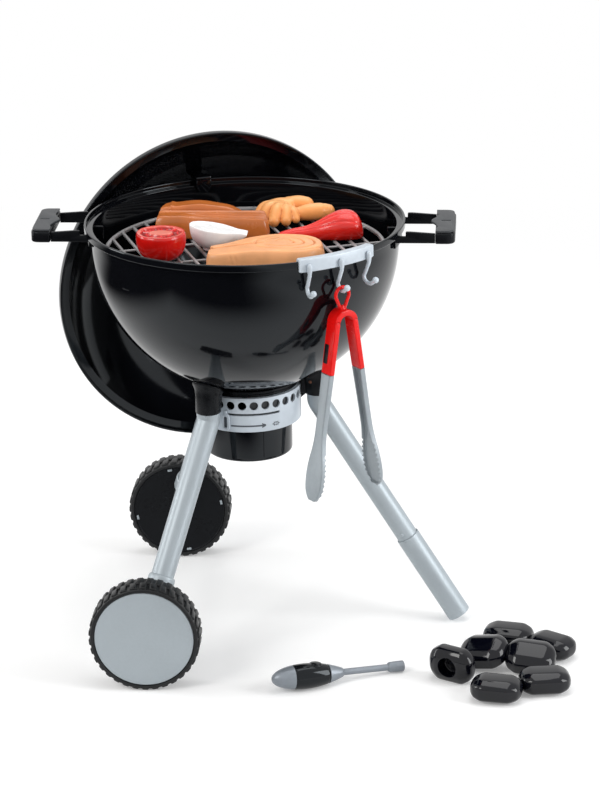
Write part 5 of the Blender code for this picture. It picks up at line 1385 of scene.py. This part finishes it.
def makeRib():
    length, width, tall = rib["length"], rib["width"], rib["height"]
    outline = closedSmooth([(-0.50, -0.40), (-0.46, -0.50), (-0.2, -0.5), (0.2, -0.5),
                            (0.46, -0.49), (0.505, -0.36), (0.505, -0.16), (0.46, 0.00),
                            (0.34, 0.22), (0.12, 0.40), (-0.12, 0.49), (-0.30, 0.50),
                            (-0.42, 0.46), (-0.47, 0.30), (-0.49, 0.02)], 6)
    outline = evenOutline([(x * length, y * width) for x, y in outline], 260)

    def height(x, y):
        u, v = x / length, y / width
        # A front bar with a lip at its back, a crease, then the taller lobe behind it.
        split = 0.015
        lip = math.exp(-((v - split + 0.075) / 0.035) ** 2)
        bar = 0.97 + 0.055 * lip
        step = -0.185 - 0.05 * easeIn(u, -0.25, 0.4)
        bar -= 0.085 * (1 - easeIn(v, step - 0.02, step + 0.02)) * easeIn(u, -0.28, -0.05)
        lobe = 1.06 + 0.13 * math.exp(-((u + 0.12) / 0.20) ** 2) \
            + 0.05 * math.exp(-((u + 0.37) / 0.018) ** 2)
        lobe -= 0.55 * easeIn(u, 0.10, 0.46)
        side = easeIn(v, split, split + 0.10)
        top = bar + (lobe - bar) * side
        cut = math.exp(-((v - split - 0.012) / 0.020) ** 2)
        top -= 0.30 * cut
        low = math.exp(-((v + 0.345 - 0.02 * math.sin(5 * u)) / 0.016) ** 2)
        top -= 0.05 * low * easeIn(u, -0.30, 0.0)
        top += 0.012 * noise.noise(Vector((x * 70, y * 120, 0)))
        top -= 0.08 * easeIn(abs(u), 0.42, 0.52)
        # The cut behind the bar and the low groove are darkened with painted shade.
        return tall * top, min(cut + 0.35 * low, 1.0)

    def spine(x, y):
        return min(max(x, -0.036), 0.034), -0.002 + 0.010 * easeIn(-x, -0.01, 0.03)

    field = heightField(outline, spine, height, 0.17, rings=64)
    addPiece("ribSteak", field, "rib_brown", "rib", ["rib_steak"], foodPlace("rib"), 80)


chicken = {
    # Rods in millimetres: the points that each runs through, each with its radius.
    "ridges": (((-14, 3, 12, 6.5), (-27, 0, 12, 6.4), (-33.5, -5, 5, 5.6)),
               ((-13, 1, 13, 6.0), (-23, -6, 13.6, 6.0), (-28, -15, 5, 5.4)),
               ((-11, 0, 13, 5.6), (-15, -11, 13.6, 5.9), (-17.5, -22, 4.6, 5.4)),
               ((-8, 0, 12.5, 5.2), (-6.5, -11, 12.6, 5.4), (-6, -21, 4.8, 5.0)),
               ((-5, 0, 11.5, 4.6), (0, -9.5, 11.2, 4.6), (3, -16, 5.4, 4.2))),
    "lobes": (((-24, 4, 10.5, 7.5), (-14, 8, 11, 8.6), (-5, 8, 11, 8.4)),
              ((-6, 11, 11.6, 8.2), (4, 12, 12, 8.8), (11, 12.5, 11.4, 8.0)),
              ((6, -6, 8.2, 6.5), (15, -4.5, 9.0, 8.2), (25, -2, 9.2, 8.3)),
              ((27, -1, 9.0, 7.0), (30.5, 0, 9.0, 7.4), (33, 0.5, 9.0, 6.6)),
              ((-22, -4, 5, 4.8), (-8, -6, 5, 5.0), (8, -3, 4.8, 4.6))),
}


def makeChicken():
    bodies = []
    for points in chicken["ridges"] + chicken["lobes"]:
        path = smoothPath([Vector(p[:3]) / 1000 for p in points], 5)
        radii = smoothPath([Vector((p[3] / 1000, 0)) for p in points], 5)
        bodies.append(pipe(path, [r.x for r in radii], 28, roundEnds=True))
    whole = melted(joined(*bodies), 0.0008, 3)
    bmesh.ops.bisect_plane(whole, geom=whole.verts[:] + whole.edges[:] + whole.faces[:],
                           plane_co=(0, 0, 0), plane_no=(0, 0, 1), clear_inner=True)
    bmesh.ops.holes_fill(whole, edges=[e for e in whole.edges if e.is_boundary], sides=0)
    layer = whole.verts.layers.float.new("crease")
    pale = whole.verts.layers.float.new("pale")
    whole.normal_update()
    for vert in whole.verts:
        # Creases are the places whose neighbours stand out in front of them; they get painted
        # shade.
        around = [edge.other_vert(vert).co for edge in vert.link_edges]
        mean = sum(around, Vector()) / len(around)
        vert[layer] = min(max((mean - vert.co).dot(vert.normal) * 7000, 0.0), 1.0)
        # Faces that look up are paler: painted light on the tops.
        vert[pale] = max(vert.normal.z, 0.0) ** 2 * 0.6
    addPiece("chickenPiece", whole, "chicken_orange", "chicken", ["chicken_piece"],
             foodPlace("chicken"), 80)


pepper = {
    "length": 0.081,
    # place along the length, then the half width and the height in millimetres
    "stations": ((0, 3, 5), (0.05, 4.6, 8), (0.18, 6, 10.5), (0.34, 7.6, 12.6),
                 (0.48, 10.4, 16.6), (0.61, 14, 21.8), (0.74, 17, 25.6), (0.85, 18, 25.6),
                 (0.93, 16.6, 22.4), (0.98, 12.5, 16.0), (1.0, 7, 9.5)),
    "grooves": ((48, 6), (74, 7), (101, 6), (140, 5)), "groove": 0.085,
}


def makePepper():
    p = pepper
    sides = 128
    bm = bmesh.new()
    layer = bm.verts.layers.float.new("crease")
    pale = bm.verts.layers.float.new("pale")
    rows = []
    for share, wide, tall in smoothPath([Vector(s) for s in p["stations"]], 7):
        share = min(max(share, 0.0), 1.0)
        row = []
        for k in range(sides):
            degrees = 360 * k / sides
            a = math.radians(degrees)
            cut = crest = 0.0
            for groove, spread in p["grooves"]:
                away = (degrees - groove - 22 * (share - 0.5)) / spread
                cut = max(cut, math.exp(-away ** 2) * (0.6 if groove > 120 else 1.0))
                crest = max(crest, math.exp(-((abs(away) - 1.9) / 0.6) ** 2))
            fade = math.sin(math.pi * min(max(share, 0.02), 0.98)) ** 0.6
            swell = 1 - p["groove"] * cut * fade
            middle = 0.42 * tall
            vert = bm.verts.new(((share - 0.5) * p["length"],
                                 wide * swell * math.cos(a) / 1000,
                                 max(middle + 0.58 * tall * swell * math.sin(a), 0.0) / 1000))
            # Grooves get painted shade, and the crests beside them a painted highlight on the
            # upper side.
            vert[layer] = cut * 0.45 * fade
            vert[pale] = crest * 0.55 * fade * max(math.sin(a), 0.0)
            row.append(vert)
        rows.append(row)
    bridged(bm, rows)
    addPiece("redPepper", bm, "pepper_red", "pepper", ["red_pepper"], foodPlace("pepper"), 70)


tomato = {
    "radius": 0.0235, "height": 0.026, "pocket": 0.0034, "seeds": 24, "seedSize": 0.060,
    "seedHeight": 0.0022,
    # shares of the radius and of the height, from the foot to the cut
    "side": ((0.42, 0.0), (0.62, 0.04), (0.84, 0.22), (0.97, 0.48), (1.0, 0.72),
             (0.985, 0.9), (0.95, 0.975)),
}


def makeTomato():
    t = tomato
    count = 180
    bm = bmesh.new()
    layer = bm.verts.layers.float.new("crease")
    pale = bm.verts.layers.float.new("pale")
    rows = []
    body = smoothPath(t["side"], 5)
    for spot in body:
        row = []
        for i in range(count):
            a = 2 * math.pi * i / count
            lobe = 1 - 0.035 * abs(math.sin(3 * a + 0.4)) ** 0.7 * (1 - spot.y * 0.5)
            r = spot.x * t["radius"] * lobe
            vert = bm.verts.new((r * math.cos(a), r * math.sin(a), spot.y * t["height"]))
            vert[layer] = 0.0
            row.append(vert)
        rows.append(row)
    seeds = []
    for k in range(t["seeds"]):
        a = 2 * math.pi * (k * 0.382 % 1)
        seeds.append((a, 0.46 + 0.26 * (k * 0.618 % 1)))
    rings = 64
    for k in range(1, rings):
        share = 1 - k / rings
        row = []
        for i in range(count):
            a = 2 * math.pi * i / count
            wobble = 0.03 * math.sin(5 * a + 1) + 0.02 * math.sin(8 * a)
            wall = easeIn(share, 0.80 + wobble, 0.86 + wobble)
            pad = 1 - easeIn(math.hypot(share * math.cos(a) / 0.52, share * math.sin(a) / 0.34),
                             0.85, 1.1)
            rib = max(math.exp(-((math.cos(1.5 * a + 0.5)) / 0.13) ** 2), pad)
            high = max(wall, rib * 0.9)
            z = t["height"] * 0.985 - t["pocket"] * (1 - high)
            # Lower parts of the cut face get painted shade, less on the seeds; the pale pad and
            # wall are the flesh's own colour.
            crease = (1 - high) * 0.8
            x, y = share * math.cos(a), share * math.sin(a)
            for angle, away in seeds:
                gap = math.hypot(x - away * math.cos(angle), y - away * math.sin(angle))
                bump = math.exp(-(gap / t["seedSize"]) ** 2)
                z += t["seedHeight"] * bump * (1 - high)
                crease -= 0.8 * bump * (1 - high)
            r = share * t["radius"] * 0.95
            vert = bm.verts.new((r * math.cos(a), r * math.sin(a), z))
            vert[layer] = max(crease, 0.0)
            vert[pale] = max(0.75 * pad, 0.5 * wall * (1 - easeIn(share, 0.93, 1.0)))
            row.append(vert)
        rows.append(row)
    bridged(bm, rows)
    addPiece("tomatoHalf", bm, "tomato_red", "tomato", ["tomato_half"], foodPlace("tomato"), 80)


mushroom = {
    # plan of the cut face in millimetres, from the end of the stem round the cap
    "plan": ((25.5, -5.5), (24.5, -7.0), (17, -8.0), (11, -11), (3, -14.6), (-8, -15.8),
             (-18, -12.8), (-25, -6.6), (-26.8, 0), (-25, 7), (-18, 13), (-8, 15.6),
             (3, 14.6), (11, 11), (17, 7.8), (24.5, 7.0), (25.5, 5.5)),
    "face": 24.6, "slope": 0.165, "foot": 3.4, "stalk": 7.5,
}


def makeMushroom():
    m = mushroom
    plan = evenOutline(closedSmooth(m["plan"], 5), 150)
    bm = bmesh.new()
    layer = bm.verts.layers.float.new("crease")
    rows = []

    def face(x):
        return m["face"] - m["slope"] * (x + 26)

    def foot(x):
        return m["foot"] + max(x - 6, 0.0) * 0.34

    def row(size, lift, sink=0.0, dim=0.0):
        spots = []
        for x, y in plan:
            px, py = -5 + (x + 5) * size, y * size
            z = foot(px) + (face(px) - foot(px)) * lift - sink
            vert = bm.verts.new((px / 1000, py / 1000, z / 1000))
            vert[layer] = dim
            spots.append(vert)
        rows.append(spots)

    for k in range(13):
        turn = math.pi / 2 * (0.20 + 0.80 * k / 12)
        row(0.30 + 0.735 * math.sin(turn) ** 0.9, 0.96 * (k / 12) ** 1.5)
    row(1.030, 0.985)
    row(1.012, 1.0)
    row(0.985, 1.0)
    row(0.965, 1.0, 0.35)
    for k in range(1, 22):
        size = 0.955 * (1 - k / 22)
        row(size, 1.0, 0.5 + 0.25 * math.exp(-((size - 0.62) / 0.05) ** 2))
    bridged(bm, rows)
    reach = m["stalk"] / 1000
    stalk = spun(softened([(0, 0), (reach, 0, 0.001), (reach * 0.92, 0.009), (0, 0.009)], 3,
                          closed=False), 64)
    stalk.transform(at(-0.008, 0, 0))
    addPiece("mushroomHalf", joined(bm, stalk), "mushroom_white", "mushroom",
             ["mushroom_half"], foodPlace("mushroom"), 70)


fish = {"length": 0.107, "width": 0.061, "height": 0.0165,
        "outline": ((-0.5, -0.4), (-0.42, -0.5), (-0.1, -0.5), (0.26, -0.49), (0.43, -0.38),
                    (0.5, -0.14), (0.49, 0.14), (0.41, 0.36), (0.27, 0.48), (0.09, 0.5),
                    (-0.1, 0.38), (-0.3, 0.16), (-0.46, 0.04), (-0.49, -0.05),
                    (-0.40, -0.12), (-0.5, -0.22))}


def makeFish():
    f = fish
    outline = evenOutline([(x * f["length"], y * f["width"])
                           for x, y in closedSmooth(f["outline"], 6)], 340)

    def height(x, y):
        u, v = x / f["length"], y / f["width"]
        # Oval flake lines on the right half, and a deep fold between the flaps at the left;
        # both are darkened with painted shade.
        dx, dy = (u - 0.15) / 0.33, (v - 0.03) / 0.43
        away = math.hypot(dx, dy) + 0.03 * math.sin(3 * math.atan2(dy, dx))
        top, crease = 1.0 + 0.06 * math.exp(-away ** 2), 0.0
        for level, start in ((0.26, -0.02), (0.52, -0.03), (0.80, -0.12), (1.04, 0.10)):
            line = math.exp(-((away - level) / 0.022) ** 2)
            shown = easeIn(u, start, start + 0.07) if level > 0.3 else easeIn(dx + dy, -0.3, 0)
            top -= 0.10 * line * shown
            crease = max(crease, 0.55 * line * shown)
        fold = -0.115 + 0.26 * (u + 0.5)
        cut = math.exp(-((v - fold) / 0.022) ** 2) * (1 - easeIn(u, -0.16, 0.06))
        curl = math.exp(-((u + 0.09) / 0.012) ** 2) * math.exp(-((v - 0.04) / 0.10) ** 2)
        top -= 0.30 * cut + 0.10 * curl
        top -= 0.20 * easeIn(-u, 0.05, 0.5)
        crease = max(crease, 0.85 * cut, 0.5 * curl)
        top += 0.02 * noise.noise(Vector((x * 60, y * 60, 3)))
        return f["height"] * top, crease

    def spine(x, y):
        u = min(max(x / f["length"], -0.34), 0.22)
        return u * f["length"], (0.03 + 0.10 * u - 0.22 * max(-u, 0)) * f["width"]

    field = heightField(outline, spine, height, 0.13, rings=72)
    # Two short cuts in the front side.
    for vert in field.verts:
        for cut in (-0.0300, -0.0255):
            gap = (vert.co.x - cut + (vert.co.z - 0.008) * 0.25) / 0.0006
            if vert.co.y < -0.024 and 0.004 < vert.co.z < 0.0125 and abs(gap) < 2.5:
                vert.co.y += 0.0007 * math.exp(-gap ** 2)
    addPiece("fishSteak", field, "fish_peach", "fish", ["fish_steak"], foodPlace("fish"), 80)


makeRib()
makeChicken()
makePepper()
makeTomato()
makeMushroom()
makeFish()
print("stage: play food made")


# Lighter, local X along its length from the rear tip

lighter = {
    "place": (0.031, -0.177), "turn": 24.5, "length": 0.071, "radius": 0.0120,
    "nose": 0.004, "belly": 0.45, "band": (0.021, 0.056), "bandDepth": 0.0016,
    "tube": 0.0031, "tubeLength": 0.045, "tubeSeat": 0.006, "cap": 0.0051,
    "capLength": 0.0155, "button": 0.0046, "buttonProud": 0.0008, "buttonPlace": 0.043,
    "buttonDeep": 0.0026, "collarSink": 0.0006,
    # radius, height and corner radius of the button's collar
    "collar": ((0.0046, -0.001), (0.0062, -0.001), (0.0060, 0.0006, 0.0004),
               (0.0051, 0.0008, 0.0003)),
}


def spindle(share):
    belly, radius = lighter["belly"], lighter["radius"]
    if share < belly:
        return radius * math.sqrt(max(1 - ((belly - share) / belly) ** 2, 0.0))
    fall = (share - belly) / (1 - belly)
    return radius + (lighter["nose"] - radius) * fall ** 2


def lighterPlace():
    # The belly and the cap both rest on the floor, so the nose points a little down.
    g = lighter
    belly = g["length"] * g["belly"]
    reach = g["length"] + g["tubeLength"] + g["capLength"] - belly
    droop = math.asin((g["radius"] - g["cap"]) / reach)
    lift = g["radius"] * math.cos(droop) + belly * math.sin(droop) + clearance
    return site @ at(*g["place"], lift) @ turnZ(g["turn"]) @ Matrix.Rotation(droop, 4, 'Y')


def makeLighterBody(place):
    g = lighter
    length, nose, tube, depth = g["length"], g["nose"], g["tube"], g["bandDepth"]
    a, b = g["band"]
    rear, front = spindle(a / length), spindle(b / length)
    count = 60
    skin = [(spindle(i / count), i / count * length) for i in range(count + 1)]

    def between(low, high, sink=0.0):
        return [(r - sink, z) for r, z in skin if low < z < high]

    profile = (between(-1, a - 0.0004) + [(rear, a - 0.0002), (rear - depth, a)]
               + between(a, b, depth) + [(front - depth, b), (front, b + 0.0002)]
               + between(b + 0.0004, 1)[:-1]
               + [(nose, length - 0.0004), (nose - 0.0005, length), (tube, length),
                  (tube, length - g["tubeSeat"]), (0, length - g["tubeSeat"])])
    addPiece("lighterShell", moved(spun(profile, 72), alongX), "toolGrey", "lighter",
             ["lighter_shell"], place, 30)
    hold = ([(rear - 0.0006, a + 0.0002)] + between(a + 0.0008, b - 0.0008)
            + [(front - 0.0006, b - 0.0002)])
    band = hold + [(r - depth + 0.0003, z) for r, z in reversed(hold)]
    addPiece("lighterBand", moved(spun(band, 72, closed=True), alongX), "gloss_black",
             "lighter", ["lighter_band"], place, 30)


def makeLighterButton(place):
    g = lighter
    spot, top = g["buttonPlace"], spindle(g["buttonPlace"] / g["length"])
    collar = spun(softened(g["collar"], 3), 48, closed=True)
    addPiece("lighterCollar", moved(collar, at(spot, 0, top - g["collarSink"])), "gloss_black",
             "lighter", (), place)
    low, high = top - g["buttonDeep"], top + g["buttonProud"]
    button = spun(softened([(0, low), (g["button"], low), (g["button"], high, 0.0009),
                            (0, high + 0.0004)], 4, closed=False), 48)
    addPiece("lighterButton", moved(button, at(spot, 0, 0)), "gloss_black", "button",
             ["lighter_button"], place)


def makeLighterFront(place):
    g = lighter
    tube, cap, end = g["tube"], g["cap"], g["capLength"]
    capAt = g["length"] + g["tubeLength"]
    start = g["length"] - g["tubeSeat"] - 0.0016
    rod = pipe([(start, 0, 0), (capAt + end / 2, 0, 0)], tube, 32)
    addPiece("lighterTube", rod, "toolGrey", "lighter", ["lighter_tube"], place)
    tip = spun(softened([(tube, 0), (tube + 0.0005, 0, 0.0003), (cap * 0.93, 0.0012, 0.0008),
                         (cap, end * 0.55, 0.001), (cap, end, 0.0006), (tube, end, 0.0005),
                         (tube, end * 0.8), (0, end * 0.8)], 4, closed=False), 48)
    addPiece("lighterTip", moved(tip, at(capAt, 0, 0) @ alongX), "toolGrey", "lighter",
             ["lighter_tip"], place)


place = lighterPlace()
makeLighterBody(place)
makeLighterButton(place)
makeLighterFront(place)


# Coals: rounded pillows with a hollow underside

coal = {
    "size": (0.0475, 0.0345, 0.0220), "flat": 0.0021, "corner": (0.50, 0.44),
    # place along the length, then the share of the width and height there
    "stations": ((-0.5, 0.40, 0.40), (-0.435, 0.74, 0.74), (-0.28, 1.0, 1.0),
                 (0.28, 1.0, 1.0), (0.435, 0.74, 0.74), (0.5, 0.40, 0.40)),
    # radii of the hollow as shares of the width; its roof and step lie below the top
    "hollow": (0.30, 0.29, 0.20), "roof": 0.0072, "roofStep": 0.0085,
}
coals = {
    # turns in degrees and size share; each lies where its own node does
    "front_left": ((0, 0, -10), 1.0), "front_right": ((0, 0, 8), 1.0),
    "left": ((88, 0, 150), 0.95), "back_left": ((0, 0, -12), 1.0),
    "back_right": ((0, 0, -35), 0.95), "mid_left": ((24, -12, -25), 1.0),
    "mid_right": ((26, 4, -8), 1.0),
}


def makeCoal(name, turns, share):
    length, width, height = (size * share for size in coal["size"])
    cutY, cutZ = coal["corner"]
    rings = []
    for along, wide, tall in coal["stations"]:
        y, z = width / 2 * wide, height / 2 * tall
        rings.append([(along * length, a, b) for a, b in
                      ((y, z * (1 - cutZ)), (y * (1 - cutY), z), (y * (cutY - 1), z),
                       (-y, z * (1 - cutZ)), (-y, z * (cutZ - 1)), (y * (cutY - 1), -z),
                       (y * (1 - cutY), -z), (y, z * (cutZ - 1)))])
    obj = tempObject(toMesh(skinned(rings)))
    soft = obj.modifiers.new("edge", 'BEVEL')
    soft.width, soft.segments = coal["flat"] * share, 3
    soft.limit_method, soft.angle_limit = 'ANGLE', math.radians(12)
    body = fromObject(obj)
    low = -height / 2 - 0.004
    roof, step = height / 2 - coal["roof"], height / 2 - coal["roofStep"]
    mouth, wall, core = (width * radius for radius in coal["hollow"])
    hollow = spun(softened([(0, low), (mouth, low), (wall, step, 0.001), (core, step, 0.0006),
                            (core, roof, 0.0006), (0, roof)], 3, closed=False), 40)
    bm = carved(body, hollow)
    aroundX, aroundY, aroundZ = turns
    bm.transform(turnZ(aroundZ) @ Matrix.Rotation(math.radians(aroundY), 4, 'Y')
                 @ Matrix.Rotation(math.radians(aroundX), 4, 'X'))
    low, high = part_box("coal_" + name)
    ownLow, ownHigh = (Vector([pick(v.co[i] for v in bm.verts) for i in range(3)])
                       for pick in (min, max))
    shift = (low + high - ownLow - ownHigh) / 2
    shift.z = low.z - ownLow.z
    words = "".join(word.title() for word in name.split("_"))
    rider = nodes["coal_" + name].parent.name.split(":", 1)[1]
    addPiece("coal" + words, bm, "coal_black", rider, ["coal_" + name], at(*shift), 28)


for name, (turns, share) in coals.items():
    makeCoal(name, turns, share)
print("stage: lighter and coals made")


# CAD nodes that keep their own shape

nodes["damper_ring"].data.materials.clear()
nodes["damper_ring"].data.materials.append(looks["inset_grey"])


# Floor, light and camera

studio = {
    "floor": (0.86, 0.86, 0.86), "floorGlow": 0.20, "fadeFrom": 0.55, "fadeTo": 1.5,
    "world": 0.50, "cloth": (0.012, 0.012, 0.014),
    # squares along each side, half the size and the height of the floor and of the cloth
    "floorSheet": (8, 6.0, 0.0), "clothSheet": (4, 4.0, 0.0015),
    # where the dark cloth starts and is full, in metres: forwards, to the left, and its ends
    "cards": {"front": (0.34, 0.72), "left": (0.50, 0.85), "right": (-0.05, 0.55),
              "back": (0.35, 0.9)},
    # name, place, aim, width, height, power in watts, colour
    "lamps": (
        ("keyLamp", (-1.7, -1.7, 2.0), (0, 0, 0.25), 1.1, 1.1, 29, (1, 0.99, 0.97)),
        ("leftLamp", (-1.9, 0.1, 0.55), (0, 0, 0.30), 0.5, 1.5, 13, (1, 1, 1)),
        ("rightLamp", (1.7, -0.5, 0.75), (0, 0, 0.25), 0.8, 1.3, 22, (0.98, 0.99, 1)),
        ("topLamp", (0.2, 0.3, 2.2), (0, 0, 0.2), 1.5, 1.5, 16, (1, 1, 1)),
    ),
}


def seenLight(wire):
    # 1 for rays that show the background: straight from the camera, mirrored or through glass.
    paths = [wire.node("ShaderNodeLightPath", out=name)
             for name in ("Is Camera Ray", "Is Glossy Ray", "Is Transmission Ray")]
    total = paths[0] + paths[1] + paths[2]
    return total.sum("MINIMUM", total, 1.0)


def emptyTree(name):
    look = bpy.data.materials.new(name)
    look.use_nodes = True
    look.node_tree.nodes.clear()
    wire = Wire(look.node_tree)
    return look, wire, wire.node("ShaderNodeTexCoord", out=3)


def makeSheet(name, look, wire, surface, squares, size, height):
    # A level sheet of the stage, whose material ends in the surface that is given.
    end = wire.tree.nodes.new("ShaderNodeOutputMaterial")
    wire.feed(end.inputs["Surface"], surface)
    bm = bmesh.new()
    bmesh.ops.create_grid(bm, x_segments=squares, y_segments=squares, size=size,
                          matrix=at(0, 0, height))
    mesh = toMesh(bm, name)
    mesh.materials.append(look)
    sheet = bpy.data.objects.new(name, mesh)
    bpy.context.scene.collection.objects.link(sheet)
    return sheet


def makeFloor():
    look, wire, where = emptyTree("studioFloor")
    away = wire.node("ShaderNodeVectorMath", {"operation": 'LENGTH'}, {0: where}, out=1)
    seen = seenLight(wire)
    matt = wire.node("ShaderNodeBsdfDiffuse", None, {"Color": studio["floor"] + (1.0,)})
    glow = wire.node("ShaderNodeEmission", None, {"Strength": seen * studio["floorGlow"]})
    white = wire.node("ShaderNodeEmission", None, {"Strength": seen})
    near = wire.node("ShaderNodeAddShader", None, {0: matt, 1: glow})
    fade = away.ramp(studio["fadeFrom"], studio["fadeTo"]) * seen
    surface = wire.node("ShaderNodeMixShader", None, {0: fade, 1: near, 2: white})
    floor = makeSheet("studioFloor", look, wire, surface, *studio["floorSheet"])


def makeCards():
    # Black cloth on the floor in front and at the left. Only reflections see it.
    c = studio["cards"]
    look, wire, where = emptyTree("darkCloth")
    x = wire.node("ShaderNodeSeparateXYZ", None, {0: where})
    y = Wire(wire.tree, x.socket.node.outputs[1])
    front = (0 - y).ramp(*c["front"]) * (1 - x.ramp(*c["right"]))
    left = (0 - x).ramp(*c["left"]) * (1 - y.ramp(*c["back"]))
    dark = front.sum("MAXIMUM", front, left)
    clear = wire.node("ShaderNodeBsdfTransparent")
    cloth = wire.node("ShaderNodeBsdfDiffuse", None, {"Color": studio["cloth"] + (1.0,)})
    surface = wire.node("ShaderNodeMixShader", None, {0: dark, 1: clear, 2: cloth})
    card = makeSheet("darkCloth", look, wire, surface, *studio["clothSheet"])
    card.visible_camera = card.visible_diffuse = card.visible_shadow = False
    card.visible_transmission = False


def makeLights():
    for name, place, aim, width, height, power, colour in studio["lamps"]:
        data = bpy.data.lights.new(name, 'AREA')
        data.shape, data.size, data.size_y = 'RECTANGLE', width, height
        data.energy, data.color = power, colour
        lamp = bpy.data.objects.new(name, data)
        lamp.location = place
        lamp.rotation_euler = (Vector(aim) - Vector(place)).to_track_quat('-Z', 'Y').to_euler()
        lamp.visible_camera = False
        bpy.context.scene.collection.objects.link(lamp)
    world = bpy.data.worlds.new("studioWorld")
    world.use_nodes = True
    bpy.context.scene.world = world
    wire = Wire(world.node_tree)
    seen = seenLight(wire)
    back = world.node_tree.nodes["Background"]
    back.inputs["Color"].default_value = (1, 1, 1, 1)
    wire.feed(back.inputs["Strength"], seen * (1 - studio["world"]) + studio["world"])


view = {"place": (0.237487, -2.695946, 1.19026), "heading": 3.998, "pitch": 19.656,
        "roll": -0.904, "lens": 135.573}


def makeCamera():
    heading, pitch, roll = (math.radians(view[name]) for name in ("heading", "pitch", "roll"))
    forward = Vector((-math.sin(heading) * math.cos(pitch),
                      math.cos(heading) * math.cos(pitch), -math.sin(pitch)))
    right = Vector((math.cos(heading), math.sin(heading), 0))
    up = right.cross(forward)
    tiltedRight = right * math.cos(roll) + up * math.sin(roll)
    tiltedUp = up * math.cos(roll) - right * math.sin(roll)
    data = bpy.data.cameras.new("photoCamera")
    data.sensor_width, data.lens = 36.0, view["lens"]
    data.clip_start, data.clip_end = 0.05, 50.0
    camera = bpy.data.objects.new("photoCamera", data)
    camera.matrix_world = site @ Matrix.Translation(view["place"]) \
        @ Matrix((tiltedRight, tiltedUp, -forward)).transposed().to_4x4()
    bpy.context.scene.collection.objects.link(camera)
    bpy.context.scene.camera = camera


makeFloor()
makeCards()
makeLights()
makeCamera()
bpy.context.scene.view_settings.view_transform = 'Standard'
bpy.context.view_layer.update()
print("stage: floor, lights and camera made")
